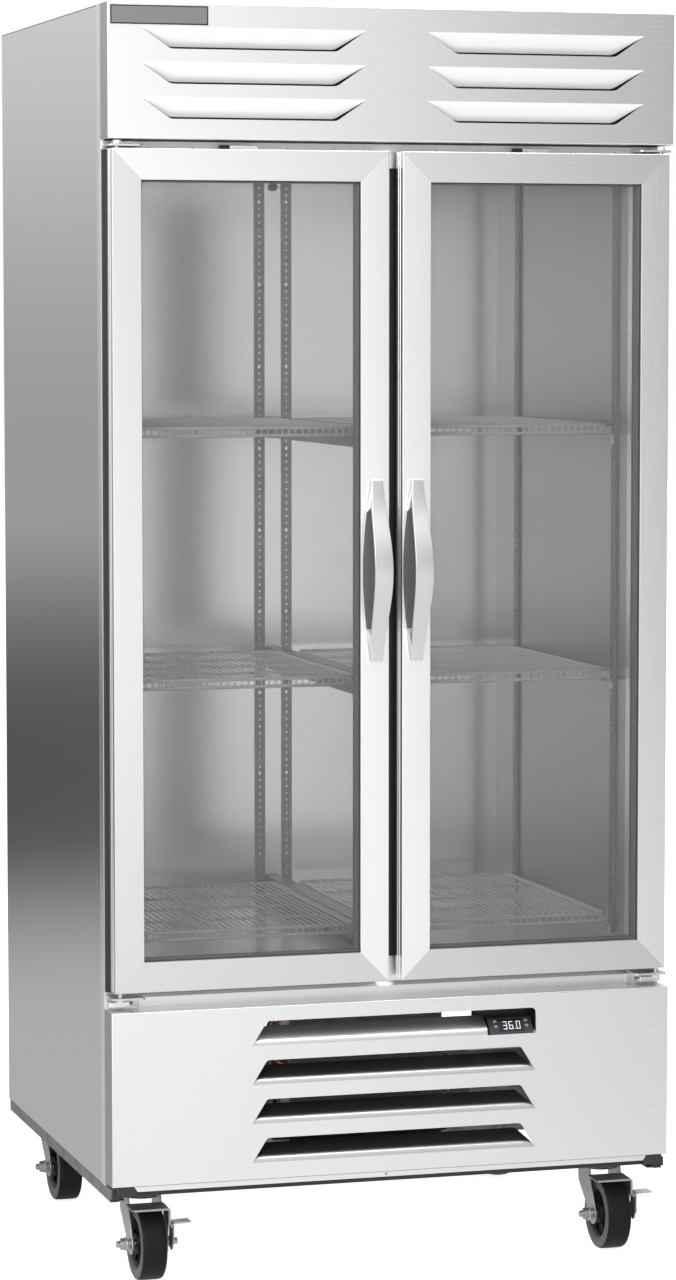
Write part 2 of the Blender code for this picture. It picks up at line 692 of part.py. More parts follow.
# ---------------------------------------------------------------- cooling gear
def fan(name, slot, centre, radius, blades, depth):
    """Hub with pitched blades, turning about Y."""
    hub_radius, root_radius, blade_half = 0.026, 0.018, 0.001
    blade_pitch = math.radians(28)
    outline = [(-0.014, root_radius), (0.014, root_radius), (0.030, radius), (-0.022, radius)]
    hub = lathe(name, slot, cylinder_profile(hub_radius, -depth / 2, depth / 2), 14, centre, "Y", centre)
    for i in range(blades):
        bm = bmesh.new()
        add_prism(bm, "Y", outline, -blade_half, blade_half)
        pitch = Matrix.Rotation(blade_pitch, 4, "Z")
        around = Matrix.Rotation(2 * math.pi * i / blades, 4, "Y")
        bmesh.ops.transform(bm, matrix=Matrix.Translation(centre) @ around @ pitch, verts=bm.verts)
        boolean(hub, finish(f"{name}_blade_{i}", bm, slot, centre), "UNION")


def make_evaporator():
    """Coil, cover and fan above the top shelf, behind the header."""
    top_z = CAVITY_Z1 - GAP
    bm = bmesh.new()
    outer = rectangle(*COVER_Y, COVER_BOTTOM_Z, top_z)
    inner = rectangle(COVER_Y[0] + SHEET, COVER_Y[1] - SHEET, COVER_BOTTOM_Z + SHEET, top_z - SHEET)
    add_prism(bm, "X", outer, -COVER_HALF, COVER_HALF, (inner,))
    cover = finish("evaporator_cover", bm, "aluminium")
    hole_radius, fan_radius, fan_setback = 0.074, 0.068, 0.032
    hole = lathe("evaporator_cover_hole", "aluminium", cylinder_profile(hole_radius, -0.02, 0.02), 20,
                 (0.0, COVER_Y[0], EVAPORATOR_FAN_Z), "Y")
    boolean(cover, hole, "DIFFERENCE")
    fan_centre = (0.0, COVER_Y[0] + SHEET + fan_setback, EVAPORATOR_FAN_Z)
    fan("evaporator_fan", "black_plastic", fan_centre, fan_radius, 4, 0.030)

    core = box("evaporator_coil", "aluminium", (-0.200, -0.080, 1.925), (0.200, 0.240, 2.065))
    ends = []
    for sign in (-1, 1):
        x0, x1 = sorted((sign * 0.199, sign * 0.222))
        ends.append(box(f"coil_end_{sign}", "aluminium", (x0, -0.070, 1.935), (x1, 0.230, 2.055)))
    union_all(core, ends)


def make_lamp():
    """LED bar on the back of the header, above the doors' sight line."""
    half_length = 0.420
    outline = [(-0.2950, 1.893), (-0.2700, 1.893), (-0.2620, 1.900), (-0.2620, 1.912), (-0.2950, 1.912)]
    prism("led_lamp", "lamp_lens", "X", outline, -half_length, half_length)


def make_condenser():
    """Finned block with round return bends along both ends."""
    core = box("condenser_coil", "aluminium", (CONDENSER_X[0], CONDENSER_FRONT_Y, CONDENSER_Z[0]),
               (CONDENSER_X[1], CONDENSER_FRONT_Y + CONDENSER_DEPTH, CONDENSER_Z[1]))
    rows, first_row_z, row_pitch, bend_radius, inset = 5, 0.232, 0.044, 0.015, 0.006
    tubes = []
    for side, edge in (("left", CONDENSER_X[0] + 0.001), ("right", CONDENSER_X[1] - 0.001)):
        for row in range(rows):
            outline = circle(edge, first_row_z + row_pitch * row, bend_radius, 8)
            tubes.append(prism(f"return_bend_{side}_{row}", "aluminium", "Y", outline,
                               CONDENSER_FRONT_Y + inset, CONDENSER_FRONT_Y + CONDENSER_DEPTH - inset))
    union_all(core, tubes)


def make_condenser_shroud():
    """Ring plate with a bar on two posts that holds the fan motor behind the fan."""
    front = CONDENSER_FRONT_Y + CONDENSER_DEPTH + GAP
    hole_radius, plate_depth, fan_setback = 0.100, 0.0255, 0.014
    shroud = prism("condenser_shroud", "dark_steel", "Y", rectangle(*CONDENSER_X, *CONDENSER_Z),
                   front, front + plate_depth, (circle(FAN_CENTRE_X, FAN_CENTRE_Z, hole_radius, 20),))
    bar_half, bar_back, bar_thickness = 0.111, 0.061, 0.003
    bar_z = (FAN_CENTRE_Z - 0.0095, FAN_CENTRE_Z + 0.0095)
    bar = box("shroud_bar", "dark_steel",
              (FAN_CENTRE_X - bar_half + 0.001, front + bar_back - bar_thickness, bar_z[0]),
              (FAN_CENTRE_X + bar_half + 0.001, front + bar_back, bar_z[1]))
    motor = lathe("fan_motor", "dark_steel", cylinder_profile(0.030, 0.036, 0.095), 14,
                  (FAN_CENTRE_X, front, FAN_CENTRE_Z), "Y")
    posts = []
    post_x, post_half = 0.1085, 0.004
    for sign in (-1, 1):
        x = FAN_CENTRE_X + sign * post_x
        posts.append(box(f"shroud_post_{sign}", "dark_steel",
                         (x - post_half, front + plate_depth - 0.0055, bar_z[0]),
                         (x + post_half, front + bar_back, bar_z[1])))
    union_all(shroud, (*posts, bar, motor))
    fan_centre = (FAN_CENTRE_X, front + fan_setback, FAN_CENTRE_Z)
    fan("condenser_fan", "black_plastic", fan_centre, 0.092, 5, 0.024)


def make_compressor():
    """Domed sealed shell on a foot plate, with its terminal box."""
    dome = [(0.0, 0.0), (0.070, 0.0), (0.078, 0.012), (0.078, 0.105), (0.070, 0.140), (0.045, 0.160),
            (0.0, 0.166)]
    shell = lathe("compressor", "dark_steel", dome, 18, (0.020, 0.170, 0.200))
    foot = box("compressor_foot", "dark_steel", (-0.090, 0.080, 0.195), (0.130, 0.260, 0.203))
    terminal = box("compressor_box", "dark_steel", (0.090, 0.135, 0.235), (0.130, 0.205, 0.300))
    union_all(shell, (foot, terminal))


def make_unit_tray():
    """Tray under the cooling unit, with a rear upstand that carries the cord gland."""
    front, rear = SIDE_FRONT_Y + 0.004, 0.330
    tray_top, upstand_top, upstand_sheet = SIDE_Z + 0.022, 0.262, 0.002
    profile = [(front, SIDE_Z), (rear, SIDE_Z), (rear, upstand_top), (rear - upstand_sheet, upstand_top),
               (rear - upstand_sheet, tray_top), (front, tray_top)]
    tray = prism("unit_tray", "zinc_sheet", "X", profile, -0.300, 0.200)
    gland_x, gland_z, hole_radius = -0.240, 0.230, 0.0105
    hole = lathe("gland_hole", "zinc_sheet", cylinder_profile(hole_radius, -0.01, 0.01), 16,
                 (gland_x, rear, gland_z), "Y")
    boolean(tray, hole, "DIFFERENCE")
    collar_y = 0.0004
    lathe("cord_gland", "black_plastic",
          [(0.0, -0.014), (0.0095, -0.014), (0.0095, collar_y), (0.016, collar_y), (0.016, 0.008),
           (0.0115, 0.010), (0.0085, 0.028), (0.0, 0.028)],
          16, (gland_x, rear, gland_z), "Y")


def tilt_matrix():
    """From the controller's own axes (x, up its face, out of its face) to the world.

    The face starts at the lower edge of the top louvre row, on the front plane,
    and leans back from there.
    """
    up = Vector((0.0, math.sin(CONTROLLER_TILT), math.cos(CONTROLLER_TILT)))
    out = Vector((0.0, -math.cos(CONTROLLER_TILT), math.sin(CONTROLLER_TILT)))
    clearance = 0.0008
    base = Vector((0.0, FRONT_Y + clearance, GRILLE_ROWS_BOTTOM[0] + clearance))
    frame = Matrix((Vector((1.0, 0.0, 0.0)), up, out)).transposed().to_4x4()
    frame.translation = base
    return frame


def make_controller():
    """Leaning display head with four push buttons in their own pockets."""
    frame = tilt_matrix()
    bm = bmesh.new()
    add_prism(bm, "Z", rectangle(*CONTROLLER_X, 0.0, CONTROLLER_FACE), -HOUSING_DEPTH, 0.0)
    bmesh.ops.transform(bm, matrix=frame, verts=bm.verts)
    housing = finish("controller_housing", bm, "black_plastic")
    for index, (x, up) in enumerate(BUTTON_PLACES, 1):
        bm = bmesh.new()
        add_prism(bm, "Z", oval(x, up, *POCKET_SIZE, 12), -POCKET_DEPTH, 0.002)
        bmesh.ops.transform(bm, matrix=frame, verts=bm.verts)
        boolean(housing, finish(f"button_pocket_{index}", bm, "black_plastic"), "DIFFERENCE")
        bm = bmesh.new()
        add_prism(bm, "Z", oval(x, up, *BUTTON_SIZE, 12), GAP + BUTTON_TRAVEL - POCKET_DEPTH, BUTTON_PROUD)
        bmesh.ops.transform(bm, matrix=frame, verts=bm.verts)
        centre = frame @ Vector((x, up, 0.0))
        finish(f"controller_button_{index}", bm, "grey_button", centre)


# ---------------------------------------------------------------- casters
def wheel_profile():
    """Half a closed section: bore, proud hub, recessed web, rim ring and rounded tread."""
    bore, hub, web_inner, web_outer = 0.0072, 0.0180, 0.0200, 0.0420
    rim, shoulder, tread_edge = 0.0450, 0.0560, WHEEL_RADIUS - 0.001
    half = WHEEL_WIDTH / 2
    one_side = [
        (bore, half - 0.002), (hub, half - 0.002), (web_inner, half - 0.009), (web_outer, half - 0.009),
        (rim, half - 0.0015), (shoulder, half), (tread_edge, half - 0.006), (WHEEL_RADIUS, half - 0.014),
    ]
    return [(r, -h) for r, h in one_side] + list(reversed(one_side))


def leg_outline(swivel_y, axle_y):
    """Side view of one fork leg, from the crown down to a round end at the axle."""
    foot_radius = 0.019
    angles = [math.radians(degrees) for degrees in range(180, 361, 36)]
    foot = [(axle_y + foot_radius * math.cos(a), WHEEL_RADIUS + foot_radius * math.sin(a)) for a in angles]
    top = BRIDGE_Z[1]
    return [*foot, (swivel_y + 0.030, 0.108), (swivel_y + BRIDGE_REACH[1], top),
            (swivel_y - BRIDGE_REACH[0], top), (swivel_y - 0.034, 0.112)]


def axle_profile():
    """Bolt with a nut or head outside each leg, as a closed half section."""
    nut_radius, nut_outer, hub_end, spacer_radius = 0.0105, 0.0455, 0.0375, 0.0060
    one_side = [
        (spacer_radius, hub_end), (nut_radius, hub_end), (nut_radius, nut_outer),
        (AXLE_RADIUS, nut_outer), (AXLE_RADIUS, AXLE_HALF), (0.0, AXLE_HALF),
    ]
    return [(r, -h) for r, h in reversed(one_side)] + one_side


def make_caster(place_name, x, swivel_y, braked):
    axle_y = swivel_y - CASTER_OFFSET
    axle = (x, axle_y, WHEEL_RADIUS)
    swivel = (x, swivel_y, 0.0)
    name = f"caster_fork_{place_name}"
    race = [(0.0, CROWN_Z[0]), (0.034, CROWN_Z[0]), (0.034, 0.1400), (0.031, 0.1455),
            (0.029, CROWN_Z[1]), (0.0, CROWN_Z[1])]
    crown = lathe(name, "zinc_sheet", race, 16, swivel, "Z", swivel)
    bridge = rectangle(x - LEG_OUTER, x + LEG_OUTER, swivel_y - BRIDGE_REACH[0], swivel_y + BRIDGE_REACH[1])
    parts = [prism(name + "_bridge", "zinc_sheet", "Z", bridge, *BRIDGE_Z)]
    for side, sign in (("left", -1), ("right", 1)):
        x0, x1 = sorted((x + sign * LEG_INNER, x + sign * LEG_OUTER))
        parts.append(prism(f"{name}_leg_{side}", "zinc_sheet", "X", leg_outline(swivel_y, axle_y), x0, x1))
    parts.append(lathe(name + "_axle", "zinc_sheet", axle_profile(), 12, axle, "X"))
    union_all(crown, parts)
    lathe(f"caster_wheel_{place_name}", "wheel_rubber", wheel_profile(), 24, axle, "X", axle)
    if braked:
        make_brake(place_name, x, axle_y)


def make_brake(place_name, x, axle_y):
    """Shoe over the tread, side arm round the axle's end, and a toe pedal."""
    name = f"brake_lever_{place_name}"
    pivot = (x, axle_y, WHEEL_RADIUS)
    arm_in, arm_out = x + 0.0312, x + 0.0342
    shoe_z0, shoe_z1 = 0.1290, 0.1320
    arm = [(axle_y - 0.021, shoe_z1), (axle_y - 0.026, 0.128), (axle_y - 0.018, 0.100),
           (axle_y - 0.016, 0.045), (axle_y + 0.016, 0.045), (axle_y + 0.014, 0.100),
           (axle_y + 0.011, shoe_z1)]
    bore = circle(axle_y, WHEEL_RADIUS, AXLE_RADIUS + 0.002, 12)
    plate = prism(name, "zinc_sheet", "X", arm, arm_in, arm_out, (bore,), pivot)
    shoe_outline = [(axle_y - 0.032, shoe_z0 - 0.0015), (axle_y - 0.026, shoe_z0), (axle_y + 0.011, shoe_z0),
                    (axle_y + 0.011, shoe_z1), (axle_y - 0.027, shoe_z1), (axle_y - 0.034, shoe_z1 - 0.002)]
    shoe = prism(name + "_shoe", "zinc_sheet", "X", shoe_outline, x - 0.034, arm_out)
    pedal_y0, pedal_y1, pedal_z, pedal_sheet, droop = axle_y - 0.034, axle_y - 0.012, 0.0985, 0.003, 0.004
    pedal_outline = [(pedal_y0, pedal_z - droop), (pedal_y1, pedal_z), (pedal_y1, pedal_z + pedal_sheet),
                     (pedal_y0, pedal_z + pedal_sheet - droop)]
    pedal = prism(name + "_pedal", "zinc_sheet", "X", pedal_outline, arm_in + 0.001, x + 0.068)
    union_all(plate, (shoe, pedal))


def main():
    clear_scene()
    make_cabinet()
    make_hood()
    make_lower_grille()
    for side, sign in (("left", -1), ("right", 1)):
        make_door(side, sign)
    make_hinges()
    make_shelves()
    make_pilasters()
    make_evaporator()
    make_lamp()
    make_condenser()
    make_condenser_shroud()
    make_compressor()
    make_unit_tray()
    make_controller()
    for side, sign in (("left", -1), ("right", 1)):
        make_caster(f"front_{side}", sign * CASTER_X, CASTER_FRONT_Y, braked=True)
        make_caster(f"rear_{side}", sign * CASTER_X, CASTER_BACK_Y, braked=False)


main()
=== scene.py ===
import math

import bmesh
import bpy
from mathutils import Matrix, Vector


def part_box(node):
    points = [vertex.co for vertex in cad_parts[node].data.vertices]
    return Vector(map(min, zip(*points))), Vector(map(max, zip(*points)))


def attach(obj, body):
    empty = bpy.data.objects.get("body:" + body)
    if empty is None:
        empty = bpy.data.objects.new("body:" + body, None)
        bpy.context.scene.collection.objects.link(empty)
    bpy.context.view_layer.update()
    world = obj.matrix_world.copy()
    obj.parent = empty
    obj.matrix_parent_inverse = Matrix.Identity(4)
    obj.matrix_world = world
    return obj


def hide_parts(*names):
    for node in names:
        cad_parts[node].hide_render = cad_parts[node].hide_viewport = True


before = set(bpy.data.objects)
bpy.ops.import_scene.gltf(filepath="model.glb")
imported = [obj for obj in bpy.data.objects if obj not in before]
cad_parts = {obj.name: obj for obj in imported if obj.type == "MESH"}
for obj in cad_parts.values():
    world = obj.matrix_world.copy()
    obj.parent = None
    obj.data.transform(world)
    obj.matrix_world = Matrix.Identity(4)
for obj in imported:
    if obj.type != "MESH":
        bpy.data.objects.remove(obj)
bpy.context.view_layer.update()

# ---------------------------------------------------------------- sizes from the frame
MM = 0.001


def low(node):
    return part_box(node)[0]


def high(node):
    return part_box(node)[1]


HALF = high("top_hood").x
FRONT = low("top_hood").y
FACE = low("face_frame").y
SIDE_FRONT = low("side_panel_left").y
BACK = high("top_back_panel").y
TOP = high("top_hood").z
HOOD_BOTTOM = low("top_hood").z
PANEL_Z = (low("lower_grille").z, high("lower_grille").z)
BASE_Z = low("base_frame").z
DOOR_Z = (low("door_frame_left").z, high("door_frame_left").z)
DOOR_DEPTH = high("door_frame_left").y - FRONT
STILE = low("door_glass_left").x - low("door_frame_left").x
RAIL = low("door_glass_left").z - low("door_frame_left").z
CAVITY_BACK = high("inner_liner").y - 1 * MM
SHELF_LEVELS = [high(f"shelf_left_{level}").z for level in ("bottom", "middle", "top")]
PIVOT_X, PIVOT_Y = 0.4765, FRONT + 12 * MM
AXLE_Z, AXLE_BEHIND = 62.5 * MM, 42 * MM
CONTROL_BEND_Z = 0.4034
GAP = 0.3 * MM
SHEET = 1.2 * MM
SIDES = (("left", -1), ("right", 1))


# ---------------------------------------------------------------- material helpers
class Nodes:
    """Short ways to add and link the nodes of one tree; a key's _ stands for a space."""

    def __init__(self, tree):
        self.tree = tree

    def node(self, kind, **values):
        made = self.tree.nodes.new("ShaderNode" + kind)
        for key, value in values.items():
            made.inputs[key.replace("_", " ")].default_value = value
        return made

    def link(self, source, target):
        self.tree.links.new(source, target)

    def split(self, vector):
        parts = self.node("SeparateXYZ")
        self.link(vector, parts.inputs["Vector"])
        return parts.outputs

    def fade(self, source, start, end, first, last, kind="SMOOTHSTEP"):
        """A change from `first` to `last` as the source goes from start to end."""
        made = self.node("MapRange", From_Min=start, From_Max=end, To_Min=first, To_Max=last)
        made.interpolation_type = kind
        self.link(source, made.inputs["Value"])
        return made.outputs["Result"]

    def arithmetic(self, operation, one, two):
        made = self.node("Math")
        made.operation = operation
        self.link(one, made.inputs[0])
        self.link(two, made.inputs[1])
        return made.outputs["Value"]

    def blend(self, factor, one, two):
        made = self.node("Mix")
        for socket, source in zip((0, 2, 3), (factor, one, two)):
            self.link(source, made.inputs[socket])
        return made.outputs[0]

    def choose(self, factor, one, two, output):
        """Mix two shaders by a factor and send the mix to the tree's output."""
        mix = self.node("MixShader")
        for socket, source in zip((0, 1, 2), (factor, one, two)):
            self.link(source, mix.inputs[socket])
        self.link(mix.outputs["Shader"], self.tree.nodes[output].inputs["Surface"])


class Look(Nodes):
    """A Principled material and the few patterns that the looks share."""

    def __init__(self, name, colour, roughness, metallic=0.0):
        self.material = bpy.data.materials.new(name)
        self.material.use_nodes = True
        super().__init__(self.material.node_tree)
        self.shader = self.tree.nodes["Principled BSDF"]
        self.colour = colour if isinstance(colour, tuple) else (colour,) * 3
        self.set(Base_Color=(*self.colour, 1.0), Roughness=roughness, Metallic=metallic)

    def set(self, **values):
        for key, value in values.items():
            self.shader.inputs[key.replace("_", " ")].default_value = value

    def place(self, stretch):
        """Coordinates in metres, scaled differently along each axis."""
        mapping = self.node("Mapping", Scale=stretch)
        self.link(self.node("TexCoord").outputs["Object"], mapping.inputs["Vector"])
        return mapping.outputs["Vector"]

    def noise(self, stretch, detail=2.0):
        """Fine noise, its stretch one number or one for each axis."""
        stretch = stretch if isinstance(stretch, tuple) else (stretch,) * 3
        made = self.node("TexNoise", Scale=1.0, Detail=detail)
        self.link(self.place(stretch), made.inputs["Vector"])
        return made.outputs["Fac"]

    def cells(self, size):
        """One random grey for each crystal of the given size."""
        made = self.node("TexVoronoi", Scale=1.0 / size)
        self.link(self.place((1.0, 1.0, 1.0)), made.inputs["Vector"])
        grey = self.node("RGBToBW")
        self.link(made.outputs["Color"], grey.inputs["Color"])
        return grey.outputs["Val"]

    def vary_colour(self, pattern, dark, light):
        mix = self.node("Mix")
        mix.data_type = "RGBA"
        mix.inputs[6].default_value = (*[c * dark for c in self.colour], 1.0)
        mix.inputs[7].default_value = (*[min(1.0, c * light) for c in self.colour], 1.0)
        self.link(pattern, mix.inputs[0])
        self.link(mix.outputs[2], self.shader.inputs["Base Color"])

    def vary_roughness(self, pattern, smooth, rough):
        spread = self.fade(pattern, 0.3, 0.7, smooth, rough, "LINEAR")
        self.link(spread, self.shader.inputs["Roughness"])

    def bump(self, pattern, depth, strength=1.0):
        made = self.node("Bump", Strength=strength, Distance=depth)
        self.link(pattern, made.inputs["Height"])
        self.link(made.outputs["Normal"], self.shader.inputs["Normal"])


def brushed(name, colour, roughness, grain, metallic=0.9, contrast=0.004, blur=0.35):
    """Sheet metal with fine parallel scratches along `grain`, an axis number."""
    look = Look(name, colour, roughness, metallic)
    fine, along = 2600.0, 12.0
    stretch = [fine, fine, fine]
    stretch[grain] = along
    scratches = look.noise(tuple(stretch), detail=3.0)
    look.vary_colour(scratches, 1.0 - contrast, 1.0 + contrast / 2)
    look.vary_roughness(scratches, roughness - 0.004, roughness + 0.004)
    look.set(Anisotropic=blur)
    tangent = look.node("Tangent")
    tangent.direction_type = "RADIAL"
    tangent.axis = "Z" if grain == 2 else "X"
    look.link(tangent.outputs["Tangent"], look.shader.inputs["Tangent"])
    return look.material


def shaded_inward(name, outer, inner, depth):
    """Sheet metal with painted shade: darker towards the inside of the cabinet, behind the front plane."""
    look = Look(name, outer, 0.34, 0.85)
    y = look.split(look.place((1.0, 1.0, 1.0)))["Y"]
    look.vary_colour(look.fade(y, FRONT + 0.4 * MM, FRONT + depth, 0.0, 1.0), 1.0, inner / outer)
    look.bump(look.noise(900.0), 0.02 * MM, 0.2)
    return look.material


def galvanised(name, colour, roughness, crystal=0.008, metallic=0.85, contrast=0.16):
    """Zinc with its spangle: flat crystals of slightly different greys."""
    look = Look(name, colour, roughness, metallic)
    spangle = look.cells(crystal)
    look.vary_colour(spangle, 1.0 - contrast, 1.0 + contrast)
    look.vary_roughness(spangle, roughness - 0.07, roughness + 0.07)
    look.bump(look.noise(240.0), 0.03 * MM, 0.3)
    return look.material


def grained(name, colour, roughness, metallic=0.0, grain=0.9, depth=0.04, contrast=0.08, gloss=0.5):
    """Moulded, painted or cast surface with an even fine grain; grain and depth in millimetres."""
    look = Look(name, colour, roughness, metallic)
    look.set(Specular_IOR_Level=gloss)
    pattern = look.noise(1.0 / (grain * MM), detail=4.0)
    look.vary_colour(pattern, 1.0 - contrast, 1.0 + contrast)
    look.vary_roughness(pattern, roughness - 0.06, roughness + 0.06)
    look.bump(pattern, depth * MM, 0.5)
    return look.material


def pane_material(name, tint, roughness):
    """Clear pane: light passes straight through with a tint, and the rest mirrors."""
    look = Look(name, tint, roughness)
    look.set(IOR=1.5)
    film = look.node("TexNoise", Scale=5.0)
    look.link(look.node("TexCoord").outputs["Object"], film.inputs["Vector"])
    spread = look.fade(film.outputs["Fac"], 0.0, 1.0, roughness * 0.6, roughness * 1.6, "LINEAR")
    look.link(spread, look.shader.inputs["Roughness"])
    edge = look.node("Fresnel", IOR=1.45)
    clear = look.node("BsdfTransparent", Color=(*tint, 1.0))
    look.choose(edge.outputs["Fac"], clear.outputs["BSDF"], look.shader.outputs["BSDF"], "Material Output")
    return look.material


def glowing(name, colour, strength):
    look = Look(name, colour, 0.35)
    look.vary_colour(look.noise(260.0), 0.96, 1.0)
    look.set(Emission_Color=(*colour, 1.0), Emission_Strength=strength)
    return look.material


STEEL = (0.86, 0.86, 0.865)
UPRIGHT_STEEL = brushed("steel_upright_grain", STEEL, 0.27, 2)
LEVEL_STEEL = brushed("steel_level_grain", STEEL, 0.27, 0)
SIDE_STEEL = brushed("steel_side_grain", (0.74, 0.74, 0.745), 0.19, 2, 0.97, 0.03, 0.5)
# Dark copy of the steel for the lower panel's back faces: painted shade.
INSIDE_STEEL_SHADE = brushed("steel_inner_face_painted_shade", 0.12, 0.50, 0, 0.7, 0.06, 0.1)
# Brighter, less metallic copy of the steel for the hood's flaps and the strip over the doors: painted light.
LIT_FLAP_STEEL = brushed("steel_hood_flap_painted_light", 0.98, 0.38, 0, 0.25, 0.01)
# Copies of the steel with painted shade for the lower panel's flaps, darker with depth; the top row lighter.
SHADED_FLAP = shaded_inward("steel_shaded_flap", 0.62, 0.08, 9 * MM)
TOP_FLAP_SHADE = shaded_inward("steel_top_flap_painted_shade", 0.70, 0.22, 20 * MM)
# Darker copy of the steel for the sheets' side returns: painted shade.
RETURN_STEEL_SHADE = brushed("steel_side_return_painted_shade", (0.42, 0.42, 0.425), 0.30, 2)
# Darker and brighter copies of the steel for the door bars: painted shade on the left door's outer stile and
# the bottom rails, painted light on the inner stiles.
OUTER_STILE_SHADE = brushed("steel_outer_stile_painted_shade", (0.75, 0.75, 0.755), 0.27, 2)
INNER_STILE_LIT = brushed("steel_inner_stile_painted_light", (0.96, 0.96, 0.965), 0.27, 2)
LOW_RAIL_SHADE = brushed("steel_low_rail_painted_shade", (0.72, 0.72, 0.725), 0.30, 0)
LINER_STEEL = brushed("steel_liner", 0.96, 0.21, 2, 0.92, 0.03, 0.2)
# Darker copy of the liner steel for the side walls: painted shade.
LINER_SIDE_SHADE = brushed("steel_liner_side_painted_shade", 0.42, 0.30, 2, 0.9, 0.02, 0.2)
HANDLE_STEEL = brushed("handle_satin", (0.76, 0.76, 0.77), 0.30, 0, 0.95, 0.03, 0.3)
# Dark paint for the handle's faces inside its opening: painted shade.
HANDLE_INSIDE_SHADE = grained("handle_inner_face_painted_shade", 0.19, 0.5, 0.6, 0.9, 0.02, 0.3)
ZINC = galvanised("galvanised_sheet", (0.50, 0.51, 0.52), 0.42)
CASTER_ZINC = galvanised("caster_zinc", (0.42, 0.42, 0.41), 0.38, 0.003, 0.9, 0.08)
SHOE_STEEL = grained("brake_shoe", 0.30, 0.55, 0.7, 2.2, 0.35, 0.45)
BRIGHT_ZINC = galvanised("bright_zinc", (0.68, 0.68, 0.66), 0.34, 0.002, 0.9, 0.06)
BASE_ZINC = galvanised("base_zinc", (0.20, 0.20, 0.205), 0.5, 0.013, 0.6, 0.38)
DARK_STEEL = grained("dark_painted_steel", (0.035, 0.035, 0.037), 0.42, 0.2)
# Near-black copy for the base's front and under faces and the corner brackets: painted shade.
BASE_SHADE = grained("base_front_rail_painted_shade", (0.045, 0.045, 0.046), 0.55, 0.4, 2.2, 0.03, 0.3)
ALUMINIUM = brushed("aluminium", (0.70, 0.71, 0.72), 0.42, 0, 0.9, 0.05, 0.1)
COPPER = grained("copper_tube", (0.62, 0.27, 0.14), 0.30, 1.0, 2.0, 0.02, 0.12)
BLACK_PLASTIC = grained("black_plastic", (0.018, 0.018, 0.019), 0.42)
GLOSS_BLACK = grained("display_window", (0.008, 0.008, 0.010), 0.12, 0.0, 3.0, 0.004)
RUBBER = grained("gasket_rubber", (0.030, 0.030, 0.031), 0.62, 0.0, 0.6, 0.03)
GREY_RUBBER = grained("grey_edge_rubber", 0.20, 0.55, 0.0, 0.6, 0.03)
TYRE = grained("wheel_tread", (0.006, 0.006, 0.0063), 0.58, 0.0, 1.4, gloss=0.22)
RIM = grained("wheel_rim", (0.085, 0.085, 0.088), 0.48, 0.0, 1.4, gloss=0.35)
HUB = grained("wheel_hub", 0.008, 0.45, gloss=0.12)
WIRE = grained("shelf_coating", (0.64, 0.65, 0.66), 0.34, 0.35, 1.2, 0.01, 0.05)
STANDARD = galvanised("standard_zinc", (0.29, 0.295, 0.30), 0.42, 0.004, 0.75, 0.06)
FOAM = grained("foam", (0.82, 0.78, 0.66), 0.85, 0.0, 2.5, 0.3, 0.1)
NYLON = grained("nylon", (0.80, 0.80, 0.78), 0.40)
SCREW = grained("screw_steel", (0.30, 0.30, 0.31), 0.35, 0.9)
BUTTON = grained("button_grey", (0.26, 0.27, 0.28), 0.5)
BADGE_FACE = brushed("badge_face", (0.27, 0.27, 0.28), 0.36, 0, 0.9, 0.08, 0.4)
BADGE_EDGE = grained("badge_edge", (0.028, 0.028, 0.03), 0.4, 0.3)
DRIER = grained("drier_paint", (0.16, 0.23, 0.34), 0.40, 0.2)
DIGIT = glowing("display_digit", (0.80, 0.90, 1.0), 1.2)
LENS = glowing("lamp_diffuser", (1.0, 1.0, 1.0), 2.2)
GLASS = pane_material("door_glass", (0.955, 0.957, 0.96), 0.03)


# ---------------------------------------------------------------- shape helpers
def eased(bm, width, segments=2, angle=35.0):
    """Round the sharp edges of a closed shape."""
    bmesh.ops.recalc_face_normals(bm, faces=bm.faces)
    if width > 0:
        least = math.radians(angle)
        sharp = [e for e in bm.edges if e.is_manifold and e.calc_face_angle(0.0) > least]
        bmesh.ops.bevel(bm, geom=sharp, offset=width, segments=segments, profile=0.5,
                        affect="EDGES", clamp_overlap=True)
    return bm


def place(axis, u, v, along):
    return Vector({"X": (along, u, v), "Y": (u, along, v), "Z": (u, v, along)}[axis])


def scaled(points, u0=0.0, v0=0.0):
    """Points in millimetres from (u0, v0), turned into metres."""
    return [(u0 + u * MM, v0 + v * MM) for u, v in points]


def span(sign, near, far):
    """The x range between two distances from the middle, on one side."""
    return sorted((sign * near, sign * far))


def prism(axis, outline, start, end, ease=0.0, holes=()):
    """Extrude a closed outline along an axis."""
    bm = bmesh.new()
    rim = []
    for loop in (outline, *holes):
        verts = [bm.verts.new(place(axis, u, v, start)) for u, v in loop]
        rim += [bm.edges.new((a, b)) for a, b in zip(verts, verts[1:] + verts[:1])]
    if holes:
        filled = bmesh.ops.triangle_fill(bm, edges=rim, use_beauty=True, use_dissolve=False)
        faces = [f for f in filled["geom"] if isinstance(f, bmesh.types.BMFace)]
    else:
        faces = [bm.faces.new([edge.verts[0] for edge in rim])]
    grown = bmesh.ops.extrude_face_region(bm, geom=faces)["geom"]
    moved = [v for v in grown if isinstance(v, bmesh.types.BMVert)]
    bmesh.ops.translate(bm, verts=moved, vec=place(axis, 0.0, 0.0, end - start))
    return eased(bm, ease)


def rectangle(u0, u1, v0, v1):
    return [(u0, v0), (u1, v0), (u1, v1), (u0, v1)]


def block(lo, hi, ease=0.0):
    return prism("Z", rectangle(lo[0], hi[0], lo[1], hi[1]), lo[2], hi[2], ease)


def slab(x, y, z, ease=0.0):
    """A block from its ranges along x, y and z."""
    return prism("Z", rectangle(*x, *y), *z, ease)


def ring(u, v, radius, sides, start=0.0):
    step = 2 * math.pi / sides
    return [(u + radius * math.cos(start + step * i), v + radius * math.sin(start + step * i))
            for i in range(sides)]


